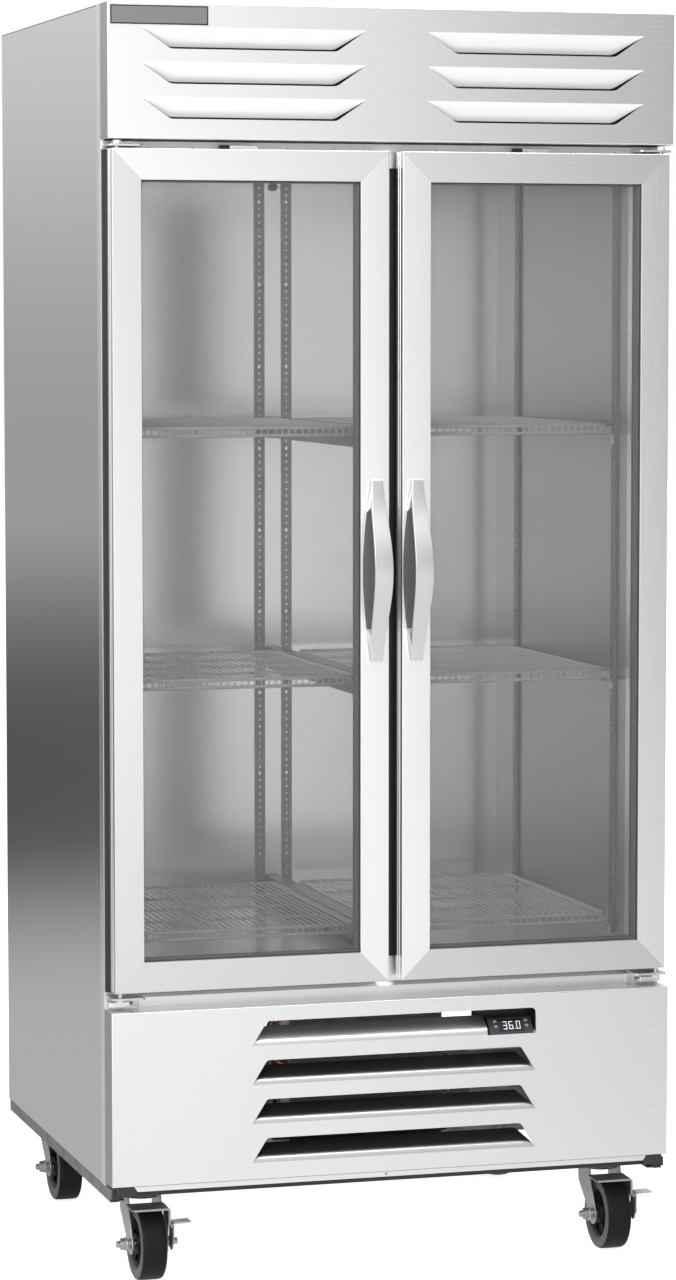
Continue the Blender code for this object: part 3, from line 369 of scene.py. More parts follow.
def turned(profile, centre, axis="Z", sides=32, wave=None):
    """Revolve a (radius, height) profile; `wave` may change a radius with the angle."""
    bm = bmesh.new()
    loops = []
    for radius, height in profile:
        if radius < 1e-6:
            loops.append([bm.verts.new((0.0, 0.0, height))])
            continue
        turns = [2 * math.pi * i / sides for i in range(sides)]
        reach = [wave(radius, turn) if wave else radius for turn in turns]
        loops.append([bm.verts.new((r * math.cos(turn), r * math.sin(turn), height))
                      for r, turn in zip(reach, turns)])
    pairs = list(zip(loops, loops[1:]))
    if len(loops[0]) > 1 and len(loops[-1]) > 1:
        pairs.append((loops[-1], loops[0]))
    for one, two in pairs:
        for i in range(sides):
            j = (i + 1) % sides
            corners = [one[i % len(one)], one[j % len(one)], two[j % len(two)], two[i % len(two)]]
            corners = list(dict.fromkeys(corners))
            if len(corners) > 2:
                bm.faces.new(corners)
    turn = {"X": Matrix.Rotation(math.radians(90), 4, "Y"), "Y": Matrix.Rotation(math.radians(-90), 4, "X"),
            "Z": Matrix.Identity(4)}[axis]
    bmesh.ops.transform(bm, matrix=Matrix.Translation(centre) @ turn, verts=bm.verts)
    return eased(bm, 0.0)


def disc_profile(radius, start, end, ease=0.0):
    """Half section of a solid disc with rounded rims."""
    if ease <= 0:
        return [(0.0, start), (radius, start), (radius, end), (0.0, end)]
    soft = 0.3 * ease
    return [(0.0, start), (radius - ease, start), (radius - soft, start + soft), (radius, start + ease),
            (radius, end - ease), (radius - soft, end - soft), (radius - ease, end), (0.0, end)]


def tube(points, radius, sides=8, closed=False):
    """A round bar along a list of points."""
    bm = bmesh.new()
    points = [Vector(p) for p in points]
    count = len(points)
    loops = []
    side = None
    circle = ring(0.0, 0.0, 1.0, sides)
    for i, point in enumerate(points):
        before = points[i - 1] if i or closed else point
        after = points[(i + 1) % count] if i < count - 1 or closed else point
        along = (after - before).normalized()
        if side is None:
            guess = Vector((0, 0, 1)) if abs(along.z) < 0.9 else Vector((1, 0, 0))
            side = along.cross(guess).normalized()
        side = (side - along * side.dot(along)).normalized()
        up = along.cross(side)
        loops.append([bm.verts.new(point + (side * u + up * v) * radius) for u, v in circle])
    pairs = list(zip(loops, loops[1:]))
    if closed:
        pairs.append((loops[-1], loops[0]))
    for one, two in pairs:
        for k in range(sides):
            m = (k + 1) % sides
            bm.faces.new((one[k], one[m], two[m], two[k]))
    if not closed:
        bm.faces.new(loops[0])
        bm.faces.new(list(reversed(loops[-1])))
    return eased(bm, 0.0)


def arc(centre, radius, start, end, steps, plane="XZ"):
    """Points of an arc in a plane through `centre`, angles in degrees."""
    points = []
    for i in range(steps + 1):
        turn = math.radians(start + (end - start) * i / steps)
        u, v = radius * math.cos(turn), radius * math.sin(turn)
        offset = {"XZ": (u, 0, v), "YZ": (0, u, v), "XY": (u, v, 0)}[plane]
        points.append(Vector(centre) + Vector(offset))
    return points


def ribbon(points, thickness):
    """Outline of a bent strip: a line of (u, v) points and its offset to the left."""
    line = [Vector(p) for p in points]
    offset = []
    for i, point in enumerate(line):
        one = (point - line[i - 1]).normalized() if i else None
        two = (line[i + 1] - point).normalized() if i < len(line) - 1 else None
        one, two = one or two, two or one
        normal = Vector((-(one.y + two.y), one.x + two.x)).normalized()
        square = Vector((-one.y, one.x))
        offset.append(point + normal * (thickness / max(0.3, normal.dot(square))))
    return [tuple(p) for p in line] + [tuple(p) for p in reversed(offset)]


def bent(points, radius, steps=4):
    """Replace the inner corners of a line of (u, v) points by arcs."""
    line = [Vector(p) for p in points]
    out = [line[0]]
    for before, corner, after in zip(line, line[1:], line[2:]):
        to_before, to_after = (before - corner).normalized(), (after - corner).normalized()
        angle = to_before.angle(to_after)
        reach = radius / math.tan(angle / 2)
        centre = corner + (to_before + to_after).normalized() * (radius / math.sin(angle / 2))
        start, end = corner + to_before * reach - centre, corner + to_after * reach - centre
        sweep = start.angle(end)
        for i in range(steps + 1):
            part = i / steps
            mixed = start * math.sin((1 - part) * sweep) + end * math.sin(part * sweep)
            out.append(centre + mixed / math.sin(sweep))
    out.append(line[-1])
    return [tuple(p) for p in out]


def changed(bm, kind, **settings):
    """Apply one modifier to a bmesh."""
    mesh = bpy.data.meshes.new("work")
    bm.to_mesh(mesh)
    bm.free()
    holder = bpy.data.objects.new("work", mesh)
    bpy.context.scene.collection.objects.link(holder)
    step = holder.modifiers.new("step", kind)
    for key, value in settings.items():
        setattr(step, key, value)
    graph = bpy.context.evaluated_depsgraph_get()
    graph.update()
    made = bmesh.new()
    made.from_mesh(holder.evaluated_get(graph).data)
    bpy.data.objects.remove(holder)
    bpy.data.meshes.remove(mesh)
    return made


def cut(bm, tool):
    """Take one closed shape out of another."""
    mesh = bpy.data.meshes.new("tool")
    tool.to_mesh(mesh)
    tool.free()
    cutter = bpy.data.objects.new("tool", mesh)
    bpy.context.scene.collection.objects.link(cutter)
    made = changed(bm, "BOOLEAN", operation="DIFFERENCE", solver="EXACT", object=cutter)
    bpy.data.objects.remove(cutter)
    bpy.data.meshes.remove(mesh)
    return made


def middle_of(face):
    return face.calc_center_median()


def moved(bm, matrix):
    bmesh.ops.transform(bm, matrix=matrix, verts=bm.verts)
    return bm


class Piece:
    """Shapes gathered into one object, each shape with its own material."""

    def __init__(self, name, body="cabinet"):
        self.name = name
        self.body = body
        self.bm = bmesh.new()
        self.materials = []

    def add(self, shape, material):
        if material not in self.materials:
            self.materials.append(material)
        index = self.materials.index(material)
        for face in shape.faces:
            face.material_index = index
        mesh = bpy.data.meshes.new("shape")
        shape.to_mesh(mesh)
        shape.free()
        self.bm.from_mesh(mesh)
        bpy.data.meshes.remove(mesh)
        return self

    def paint(self, material, chosen):
        """Give another material to the faces that `chosen` picks."""
        if material not in self.materials:
            self.materials.append(material)
        for face in self.bm.faces:
            if chosen(face):
                face.material_index = self.materials.index(material)
        return self

    def close(self, slot, *nodes, angle=32.0):
        """Make the object, ride it on its body and let it stand for the CAD nodes."""
        mesh = bpy.data.meshes.new(self.name)
        self.bm.to_mesh(mesh)
        self.bm.free()
        for material in self.materials:
            mesh.materials.append(material)
        mesh.set_sharp_from_angle(angle=math.radians(angle))
        made = bpy.data.objects.new(self.name, mesh)
        bpy.context.scene.collection.objects.link(made)
        even = made.modifiers.new("even_normals", "WEIGHTED_NORMAL")
        even.keep_sharp = True
        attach(made, self.body)
        if nodes:
            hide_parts(*nodes)
        return made


def node_shape(node, ease=0.0, segments=2):
    """A CAD node's own shape with clean flat faces and rounded edges."""
    bm = bmesh.new()
    bm.from_mesh(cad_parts[node].data)
    bmesh.ops.remove_doubles(bm, verts=bm.verts, dist=1e-6)
    bmesh.ops.dissolve_limit(bm, angle_limit=math.radians(1.0), verts=bm.verts, edges=bm.edges)
    return eased(bm, ease, segments)


def screw(centre, axis, radius=2.6 * MM, height=1.6 * MM):
    """Pan head screw standing on `centre`, its head along +axis or, for -Y, out to the front."""
    profile = [(0.0, 0.0), (radius, 0.0), (radius, 0.45 * height), (0.75 * radius, 0.85 * height),
               (0.4 * radius, height), (0.3 * radius, 0.7 * height), (0.0, 0.7 * height)]
    if axis.startswith("-"):
        profile = [(r, -h) for r, h in profile]
    return turned(profile, centre, axis[-1], 14)


def hex_nut(centre, radius, start, end):
    """A nut round the x direction, `start` to `end` from its centre."""
    x, y, z = centre
    return prism("X", ring(y, z, radius, 6, 0.4), x + start, x + end, 0.7 * MM)


# ---------------------------------------------------------------- louvred front sheets
def outline_span(outline, level):
    """Lowest and highest x where a closed (x, z) outline crosses a level."""
    found = []
    for (x0, z0), (x1, z1) in zip(outline, outline[1:] + outline[:1]):
        if min(z0, z1) - 2e-6 <= level <= max(z0, z1) + 2e-6:
            if abs(z1 - z0) < 4e-6:
                found += [x0, x1]
            else:
                found.append(x0 + (x1 - x0) * (level - z0) / (z1 - z0))
    return min(found), max(found)


def louvre(bend_z, rise, left, right, left_free, right_free, round_radius):
    """Outline of a louvre that starts along its bend, with round free corners."""
    far = bend_z + rise
    line = [(left, bend_z), (left_free, far), (right_free, far), (right, bend_z)]
    rounded = bent(line, round_radius, 6)
    return [rounded[-1]] + rounded[:-1]


def flap_rows(rise, bend, tilt, corner):
    """Distances from the bend at which the flap gets a row of points."""
    length = abs(rise)
    curved = bend * tilt
    rows = [curved * i / 6 for i in range(7)]
    last = length - corner
    rows += [last] if last > curved + 1 * MM else []
    return rows + [length - corner * (1 - math.sin(math.radians(a))) for a in (18, 36, 54, 72, 90)]


def add_flap(bm, outline, bend_z, rise, bend, tilt, corner, cut_x):
    """A tongue of the sheet, curved inward from its bend to its tilt, with a saw cut round it."""
    sign = 1 if rise > 0 else -1
    kerf = 0.5 * MM
    rows = []
    for reach in flap_rows(rise, bend, tilt, corner):
        left, right = outline_span(outline, bend_z + sign * min(reach, abs(rise)))
        shrink = kerf * min(1.0, reach / (2 * MM))
        turned_by = min(reach / bend, tilt)
        straight = max(0.0, reach - bend * tilt)
        inward = bend * (1 - math.cos(turned_by)) + straight * math.sin(tilt)
        along = bend * math.sin(turned_by) + straight * math.cos(tilt)
        rows.append([bm.verts.new((x, FRONT + inward, bend_z + sign * along))
                     for x in (left + shrink, min(right, cut_x) - shrink)])
    for one, two in zip(rows, rows[1:]):
        corners = (one[0], one[1], two[1], two[0])
        bm.faces.new(corners if sign > 0 else tuple(reversed(corners)))


def louvred_sheet(z0, z1, louvres):
    """One sheet: front with its louvres' holes and flaps, rounded edges and four returns."""
    bm = bmesh.new()
    edge, depth = 1.8 * MM, FACE - FRONT - GAP
    rim = []
    outer = rectangle(-HALF + edge, HALF - edge, z0 + edge, z1 - edge)
    for loop in (outer, *[entry.pop("hole") for entry in louvres]):
        verts = [bm.verts.new((x, FRONT, z)) for x, z in loop]
        rim += [bm.edges.new((a, b)) for a, b in zip(verts, verts[1:] + verts[:1])]
    bmesh.ops.triangle_fill(bm, edges=rim, use_beauty=True, use_dissolve=False)
    for face in bm.faces:
        if face.normal.y > 0:
            face.normal_flip()
    middle_z = (z0 + z1) / 2
    quarter = [math.radians(22.5 * i) for i in range(1, 5)]
    steps = [(edge * math.sin(a), edge * (1 - math.cos(a))) for a in quarter] + [(edge, depth)]
    before, last_y = outer, FRONT
    for out, back in steps:
        grown = [(x + math.copysign(out, x), z + math.copysign(out, z - middle_z)) for x, z in outer]
        for i in range(4):
            j = (i + 1) % 4
            new_y = FRONT + back
            quad = ((grown[i], new_y), (grown[j], new_y), (before[j], last_y), (before[i], last_y))
            bm.faces.new([bm.verts.new((p[0], y, p[1])) for p, y in quad])
        before, last_y = grown, FRONT + back
    for entry in louvres:
        add_flap(bm, **entry)
    bmesh.ops.remove_doubles(bm, verts=bm.verts, dist=0.01 * MM)
    return changed(bm, "SOLIDIFY", thickness=SHEET, offset=-1.0, use_even_offset=True)


def make_hood():
    rise, slope, corner = -0.0365, 0.053, 18 * MM
    louvres = []
    for top in (2.1065, 2.0493, 1.9920):
        for left, right in ((-0.4412, -0.0503), (0.0525, 0.4424)):
            shape = louvre(top, rise, left, right, left + slope, right - slope, corner)
            louvres.append({"hole": shape, "outline": shape, "bend_z": top, "rise": rise, "bend": 5 * MM,
                            "tilt": math.radians(27), "corner": corner * 0.6, "cut_x": right})
    hood = Piece("hood_sheet")
    hood.add(louvred_sheet(HOOD_BOTTOM, TOP, louvres), LEVEL_STEEL)
    # The side returns take the darker copy of the steel as painted shade.
    hood.paint(RETURN_STEEL_SHADE, lambda face: abs(face.normal.x) > 0.8)
    # The hood's flaps take the brighter copy of the steel as painted light.
    hood.paint(LIT_FLAP_STEEL, lambda face: face.normal.y < -0.5 and face.normal.z < -0.2)
    hood.close("brushed_steel", "top_hood")

    # Dark sheet behind the hood's louvres, where there is only shade: painted shade.
    back = slab((-HALF + 4 * MM, HALF - 4 * MM), (FACE - 1.6 * MM, FACE - 0.4 * MM),
                (HOOD_BOTTOM + 6 * MM, TOP - 4 * MM))
    Piece("hood_painted_shade_backing").add(back, DARK_STEEL).close("brushed_steel")

    lo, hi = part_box("badge_plate")
    inset = 2.2 * MM
    badge = Piece("badge_blank")
    badge.add(block(lo, (hi.x, FRONT - GAP, hi.z), 0.5 * MM), BADGE_EDGE)
    badge.add(slab((lo.x + inset, hi.x - inset), (lo.y - 0.1 * MM, FRONT - 1.0 * MM),
                   (lo.z + inset, hi.z - inset), 0.3 * MM), BADGE_FACE)
    badge.close("badge_plate", "badge_plate")


def make_lower_panel():
    half, slope, rise, corner = 0.2533, 0.0275, 0.0440, 8 * MM
    top_row, flaps_meet = CONTROL_BEND_Z, 0.39
    louvres = []
    for bottom in (top_row, 0.3368, 0.2702, 0.2037):
        is_top = bottom == top_row
        shape = louvre(bottom, rise, -half, half, -half + slope, half - (1 * MM if is_top else slope), corner)
        cut_x = low("controller_housing").x - 4 * MM if is_top else half
        hole = [shape[0], (cut_x, bottom), *shape[1:]] if is_top else shape
        louvres.append({"hole": hole, "outline": shape, "bend_z": bottom, "rise": rise, "bend": 15 * MM,
                        "tilt": math.radians(52), "corner": corner * 0.7, "cut_x": cut_x})
    panel = Piece("lower_panel_sheet")
    panel.add(louvred_sheet(*PANEL_Z, louvres), LEVEL_STEEL)
    # The sheet's back faces take the dark copy of the steel as painted shade.
    panel.paint(INSIDE_STEEL_SHADE, lambda face: face.normal.y > 0.3)
    # The side returns take the darker copy of the steel as painted shade.
    panel.paint(RETURN_STEEL_SHADE, lambda face: abs(face.normal.x) > 0.8)
    # The lower panel's flaps get painted shade, darker with depth behind the front plane.
    for look, z0, z1 in ((SHADED_FLAP, PANEL_Z[0], flaps_meet), (TOP_FLAP_SHADE, flaps_meet, PANEL_Z[1])):
        panel.paint(look, lambda face: z0 < middle_of(face).z < z1 and face.normal.z > 0.12
                    and face.normal.y < -0.3 and middle_of(face).y > FRONT + 0.05 * MM)
    panel.close("brushed_steel", "lower_grille")

    half, cut_end = 0.457, 6 * MM
    z0, z1 = PANEL_Z[0] - 9 * MM, PANEL_Z[0] - GAP
    outline = [(-half + cut_end, z0), (half - cut_end, z0), (half, z1), (-half, z1)]
    lip = Piece("panel_lip")
    lip.add(prism("Y", outline, FRONT + 1 * MM, FRONT + 2.2 * MM, 0.2 * MM), LEVEL_STEEL)
    lip.add(screw((-0.0158, FRONT + 1 * MM, 0.1735), "-Y", 2.2 * MM, 1 * MM), SCREW)
    lip.close("brushed_steel")
    corners = Piece("base_corner_brackets")
    for _, sign in SIDES:
        # The upright corner brackets are near black: painted shade.
        corners.add(slab(span(sign, 0.4865, 0.452), (FRONT + 2.6 * MM, FRONT + 11.5 * MM),
                         (BASE_Z + 11 * MM, PANEL_Z[0] - 1 * MM), 0.6 * MM), BASE_SHADE)
        corners.add(slab(span(sign, 0.4778, 0.468), (FRONT + 24 * MM, FRONT + 60 * MM),
                         (BASE_Z + 0.3 * MM, BASE_Z + 3 * MM), 0.6 * MM), BASE_ZINC)
    corners.close("zinc_sheet")


# ---------------------------------------------------------------- cabinet
def make_cabinet():
    sheets = [(f"side_sheet_{side}", f"side_panel_{side}", 1.4, 3, SIDE_STEEL, "brushed_steel")
              for side, _ in SIDES]
    sheets += [("top_and_back_sheet", "top_back_panel", 0.6, 2, ZINC, "zinc_sheet"),
               ("face_frame_sheet", "face_frame", 0.45, 2, UPRIGHT_STEEL, "brushed_steel"),
               ("mullion_cover", "mullion", 1.2, 2, BLACK_PLASTIC, "black_plastic"),
               ("foam_body", "insulation_body", 1.0, 2, FOAM, "white_foam")]
    for name, node, ease, segments, look, slot in sheets:
        Piece(name).add(node_shape(node, ease * MM, segments), look).close(slot, node)
    liner = Piece("liner").add(node_shape("inner_liner", 0.4 * MM), LINER_STEEL)
    # The liner's side walls take the darker copy as painted shade.
    liner.paint(LINER_SIDE_SHADE, lambda face: abs(face.normal.x) > 0.7)
    liner.close("brushed_steel", "inner_liner")
    make_base()
    make_rear_details()
    make_sill()


def make_base():
    """Base channels; the front rail is cut back at its lower front, with a small boss under it. Its front and
    under faces near the front are near black as painted shade.
    """
    before, below = FRONT - 5 * MM, BASE_Z - 5 * MM
    recess = slab((-0.478, 0.478), (before, FRONT + 70 * MM), (below, BASE_Z + 10.2 * MM))
    notch = slab((-HALF, HALF), (before, FRONT + 22 * MM), (below, BASE_Z + 6 * MM))
    base = Piece("base_channels")
    base.add(eased(cut(cut(node_shape("base_frame"), recess), notch), 0.8 * MM), BASE_ZINC)
    boss = [(0, 4), (12, 4), (20, 6), (24, 9), (24, 10.1), (0, 10.1)]
    base.add(turned(scaled(boss), (0.197, FRONT + 40 * MM, BASE_Z), "Z", 36), BASE_ZINC)
    # Painted shade on the base's front and under faces near the front.
    base.paint(BASE_SHADE, lambda face: middle_of(face).y < FRONT + 80 * MM
               and (face.normal.y < -0.3 or face.normal.z < -0.3))
    base.close("zinc_sheet", "base_frame")


def make_rear_details():
    """Rivets down and under the back sheet and along the top's sides."""
    details = Piece("rear_rivets")
    inset, radius = 14 * MM, 3.0 * MM
    z0, y0 = low("top_back_panel").z, SIDE_FRONT + 0.05
    for i in range(9):
        for _, sign in SIDES:
            spot = (sign * (HALF - inset), BACK, z0 + 0.03 + (TOP - z0 - 0.06) * i / 8)
            details.add(screw(spot, "Y", radius, 1.4 * MM), SCREW)
    for i in range(5):
        details.add(screw((-0.40 + 0.20 * i, BACK, z0 + inset), "Y", radius, 1.4 * MM), SCREW)
        for _, sign in SIDES:
            spot = (sign * (HALF - inset), y0 + (BACK - SIDE_FRONT - 0.10) * i / 4, TOP - 1.3 * MM)
            details.add(screw(spot, "Z", radius, 1.2 * MM), SCREW)
    details.close("zinc_sheet")


def make_sill():
    """Strips above and under the doors; the lower one has diagonal ends beside the hinges. The upper one
    carries painted light, with a black line under the hood as painted shadow.
    """
    soft, near = 0.3 * MM, FACE - GAP
    header = Piece("door_header_light_and_shadow_strip")
    strip = slab((-0.44, 0.44), (FACE - 1.6 * MM, near), (DOOR_Z[1] + 1 * MM, HOOD_BOTTOM - 2.6 * MM), soft)
    # The strip over the doors takes the brighter copy of the steel: painted light.
    header.add(strip, LIT_FLAP_STEEL)
    # Black strip under the hood's lower edge, standing for the shadow gap there: painted shadow.
    seam = slab((-HALF + 6 * MM, HALF - 6 * MM), (FACE - 6 * MM, near),
                (HOOD_BOTTOM - 2.3 * MM, HOOD_BOTTOM - GAP), soft)
    header.add(seam, RUBBER)
    header.close("brushed_steel")
    seals = Piece("face_edge_seals")
    lip = Piece("door_sill_strip")
    half, low_z, mid, top = 0.4435, 0.4874, 0.4905, 0.4968
    front = FACE - 8 * MM
    profile = [(near, low_z), (front, low_z), (front, mid), (FACE - 2.5 * MM, top), (near, top)]
    bar = prism("X", profile, -half, half, 0.4 * MM)
    for vert in bar.verts:
        if vert.co.z < mid:
            vert.co.x += math.copysign(7 * MM, vert.co.x)
    lip.add(bar, LEVEL_STEEL)
    for _, sign in SIDES:
        seal = slab(span(sign, 0.4745, 0.4938), (FACE - 4.2 * MM, near), (0.5010, 1.9060), 0.6 * MM)
        seals.add(seal, RUBBER)
        pad = slab(span(sign, 0.4925, 0.4560), (FACE - 20 * MM, FACE - 4 * MM), (0.4770, 0.4860), 1 * MM)
        lip.add(pad, LEVEL_STEEL)
    seals.close("black_rubber")
    lip.close("brushed_steel")


# ---------------------------------------------------------------- doors
def mitred_ring(x0, x1, z0, z1, profile, wide=1.0, tall=1.0, seam=0.08 * MM):
    """Four bars round a rectangle, cut at 45 degrees. A profile point is (inset, y)."""
    corners = [((x0, z0), (1, 1)), ((x1, z0), (-1, 1)), ((x1, z1), (-1, -1)), ((x0, z1), (1, -1))]
    bars = {}
    for i, name in enumerate(("bottom", "right", "top", "left")):
        bm = bmesh.new()
        ends = []
        for (cx, cz), (dx, dz) in (corners[i], corners[(i + 1) % 4]):
            ends.append([Vector((cx + dx * u * wide, y, cz + dz * u * tall)) for u, y in profile])
        along = (ends[1][0] - ends[0][0]).normalized() * seam
        first = [bm.verts.new(p + along) for p in ends[0]]
        second = [bm.verts.new(p - along) for p in ends[1]]
        count = len(profile)
        for k in range(count):
            m = (k + 1) % count
            bm.faces.new((first[k], first[m], second[m], second[k]))
        bm.faces.new(list(reversed(first)))
        bm.faces.new(second)
        bars[name] = eased(bm, 0.0)
    return bars


def rounded_front(radius, steps=3):
    """Quarter round from the side (0, radius) to the front (radius, 0), as (inset, depth)."""
    return [(radius * (1 - math.sin(a)), radius * (1 - math.cos(a)))
            for a in (math.radians(90 - 90 * i / steps) for i in range(steps + 1))]


def make_door(side, sign):
    body = f"{side}_door"
    x0, x1 = low(f"door_frame_{side}").x, high(f"door_frame_{side}").x
    back, soft = DOOR_DEPTH, 1.3 * MM
    profile = [(0.0, back - 9 * MM), (1.6 * MM, back - 8 * MM), (1.6 * MM, back - 3 * MM), (4.0 * MM, back),
               (STILE - 3 * MM, back), (STILE, back - 3 * MM), (STILE, 0.8 * MM),
               (STILE - 0.25 * MM, 0.25 * MM), (STILE - 0.8 * MM, 0.0), *reversed(rounded_front(soft))]
    for depth in (12.0, 22.0):
        profile += scaled([(0.0, depth), (1.3, depth + 0.7), (1.3, depth + 3.2), (0.0, depth + 3.9)])
    profile = [(u, FRONT + d) for u, d in profile]
    bars = mitred_ring(x0, x1, DOOR_Z[0], DOOR_Z[1], profile, 1.0, RAIL / STILE)
    for end, z in zip(("bottom", "top"), DOOR_Z):
        for name in (end, side):
            bore = turned(disc_profile(5 * MM, -12 * MM, 12 * MM), (sign * PIVOT_X, PIVOT_Y, z), "Z", 20)
            bars[name] = cut(bars[name], bore)
    # The left outer stile and the bottom rail take darker copies of the steel as painted shade, the inner
    # stiles a brighter copy as painted light.
    outer_stile = {"left": OUTER_STILE_SHADE, "right": UPRIGHT_STEEL}[side]
    looks = {"bottom": LOW_RAIL_SHADE, "top": LEVEL_STEEL, side: outer_stile}
    door = Piece(f"door_bars_{side}", body)
    for name, bar in bars.items():
        door.add(bar, looks.get(name, INNER_STILE_LIT))
    door.close("brushed_steel", f"door_frame_{side}")

    gx = (x0 + STILE + GAP, x1 - STILE - GAP)
    gz = (DOOR_Z[0] + RAIL + GAP, DOOR_Z[1] - RAIL - GAP)
    panes = Piece(f"door_panes_{side}", body)
    for start in (8.0, 28.0):
        panes.add(slab(gx, (FRONT + start * MM, FRONT + (start + 4) * MM), gz), GLASS)
    panes.close("glass", f"door_glass_{side}")

    trim = Piece(f"glazing_trim_{side}", body)
    spacer = [(0.0, 12.2), (2.6, 12.2), (3.0, 13.0), (3.0, 27.0), (2.6, 27.8), (0.0, 27.8)]
    bead = [(0.0, 4.0), (0.8, 4.4), (1.3, 5.8), (1.3, 7.8), (0.0, 7.8)]
    rear = [(0.0, 32.2), (3.0, 32.2), (3.0, 36.0), (1.0, 40.0), (0.0, 40.0)]
    for outline, look in ((spacer, GREY_RUBBER), (bead, RUBBER), (rear, GREY_RUBBER)):
        for bar in mitred_ring(*gx, *gz, scaled(outline, 0.0, FRONT), seam=0.0).values():
            trim.add(bar, look)
    trim.close("black_rubber")

    lo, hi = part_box(f"door_gasket_{side}")
    waves = [(0.0, 0.0), (16.0, 0.0), (16.0, 0.16), (14.6, 0.3), (15.6, 0.5), (14.6, 0.7), (16.0, 0.84),
             (16.0, 1.0), (0.0, 1.0), (0.0, 0.84), (1.4, 0.7), (0.4, 0.5), (1.4, 0.3), (0.0, 0.16)]
    gasket = Piece(f"bellows_gasket_{side}", body)
    outline = [(u * MM, lo.y + part * (hi.y - lo.y)) for u, part in waves]
    for bar in mitred_ring(lo.x, hi.x, lo.z, hi.z, outline, seam=0.0).values():
        gasket.add(bar, RUBBER)
    gasket.close("black_rubber", f"door_gasket_{side}")
    make_handle(side, sign, body)
    make_door_top(side, sign, body)


def make_door_top(side, sign, body):
    """Stop plate and screws on the door's top edge."""
    fittings = Piece(f"door_top_fittings_{side}", body)
    z, middle = DOOR_Z[1] + GAP, sign * 0.2565
    for u0, u1, d0, d1, tall, look in ((-24.5, 24.5, 25, 40, 7, LEVEL_STEEL),
                                       (-41, -25, 29, 38, 8, BLACK_PLASTIC)):
        fittings.add(slab((middle + u0 * MM, middle + u1 * MM), (FRONT + d0 * MM, FRONT + d1 * MM),
                          (z, z + tall * MM), 0.8 * MM), look)
    x0, x1 = low(f"door_frame_{side}").x, high(f"door_frame_{side}").x
    for part in (0.075, 0.13, 0.29, 0.46, 0.63, 0.80, 0.93):
        x = x0 + (x1 - x0) * part
        if abs(abs(x) - PIVOT_X) > 12 * MM:
            fittings.add(screw((x, FRONT + 9 * MM, z), "Z", 2.4 * MM, 2.4 * MM), SCREW)
    fittings.close("brushed_steel")


def make_handle(side, sign, body):
    """Bowed pull: a wide back plate and a narrower strap, parted by a lens-shaped opening."""
    z0, z1 = low(f"door_handle_{side}").z, high(f"door_handle_{side}").z
    end, reach = 11.5 * MM, 52 * MM
    middle = sign * 35.5 * MM

    def depth_at(z):
        return end + (reach - end) * (0.5 - 0.5 * math.cos(2 * math.pi * (z - z0) / (z1 - z0)))

    def half_width(y, z):
        grow = math.sin(math.pi * (z - z0) / (z1 - z0))
        plate, strap = (10.5 + 13.8 * grow) * MM, (9.0 + 6.6 * grow) * MM
        return plate + (strap - plate) * min(1.0, (FRONT - y) / depth_at(z))

    def levels(start, stop, steps):
        return [start + (stop - start) * i / steps for i in range(steps + 1)]

    soft = 0.9 * MM
    outer = [(FRONT - depth_at(z), z) for z in levels(z0, z1, 56)]
    outer[0] = (outer[0][0] + soft, z0)
    outer[-1] = (outer[-1][0] + soft, z1)
    lens0, lens1 = z0 + 47 * MM, z1 - 47 * MM
    lens = levels(lens0, lens1, 30)
    opening = [(FRONT - 3 * MM, z) for z in lens[1:-1]]
    opening += [(FRONT - max(4 * MM, depth_at(z) - 4.5 * MM), z) for z in reversed(lens)]
    bm = prism("X", [(FRONT - GAP, z1), (FRONT - GAP, z0), *outer], -1.0, 1.0, 0.0, (opening,))
    for vert in bm.verts:
        vert.co.x = middle + vert.co.x * half_width(vert.co.y, vert.co.z)

    def inside(face):
        """The strap's back and the plate's front, as seen through the opening; these get painted shade."""
        y = middle_of(face).y
        strap = face.normal.y > 0.5 and y < FRONT - 3.5 * MM
        plate = face.normal.y < -0.7 and y > FRONT - 4 * MM
        return lens0 < middle_of(face).z < lens1 and (strap or plate)

    pull = Piece(f"pull_handle_{side}", body).add(eased(bm, 0.6 * MM, 2, 50.0), HANDLE_STEEL)
    # Painted shade on the faces seen through the opening.
    pull.paint(HANDLE_INSIDE_SHADE, inside)
    pull.close("satin_handle", f"door_handle_{side}", angle=40.0)


def make_hinges():
    """Top and bottom pivots: a plate with its pin and white bush, and a leaf on the face frame."""
    places = {"top": ((1.9105, 1.9140), (1.9085, 1.9215), (DOOR_Z[1] - 10 * MM, 1.9105), (1.9140, 1.9205)),
              "bottom": ((0.4935, 0.4970), (0.4755, 0.4970), (0.4970, DOOR_Z[0] + 10 * MM), (0.4880, 0.4935))}
    for side, sign in SIDES:
        for end, (plate_z, leaf_z, pin_z, bush_z) in places.items():
            node = f"hinge_{end}_{side}"
            x0, x1 = low(node).x, high(node).x
            near, front, nose = FACE - GAP, PIVOT_Y - 11 * MM, 4 * MM
            outline = [(x0, near), (x0, front + nose), (x0 + nose, front), (x1 - nose, front),
                       (x1, front + nose), (x1, near)]
            hinge = Piece(f"pivot_{end}_{side}")
            hinge.add(prism("Z", outline, *plate_z, 0.6 * MM), BRIGHT_ZINC)
            hinge.add(slab((x0, x1), (FACE - 3.3 * MM, near), leaf_z, 0.6 * MM), BRIGHT_ZINC)
            pivot = (sign * PIVOT_X, PIVOT_Y, 0.0)
            hinge.add(turned(disc_profile(4 * MM, *pin_z, 0.8 * MM), pivot, "Z", 24), BRIGHT_ZINC)
            hinge.add(turned(disc_profile(7 * MM, *bush_z, 1.2 * MM), pivot, "Z", 28), NYLON)
            for part in (0.3, 0.75):
                x = x0 + part * (x1 - x0)
                if end == "top":
                    hinge.add(screw((x, FACE - 14 * MM, plate_z[1]), "Z", 3.2 * MM, 2.2 * MM), SCREW)
                else:
                    hinge.add(screw((x, FACE - 3.3 * MM, 0.4815), "-Y", 3.0 * MM, 2.0 * MM), SCREW)
            hinge.close("zinc_sheet", node)


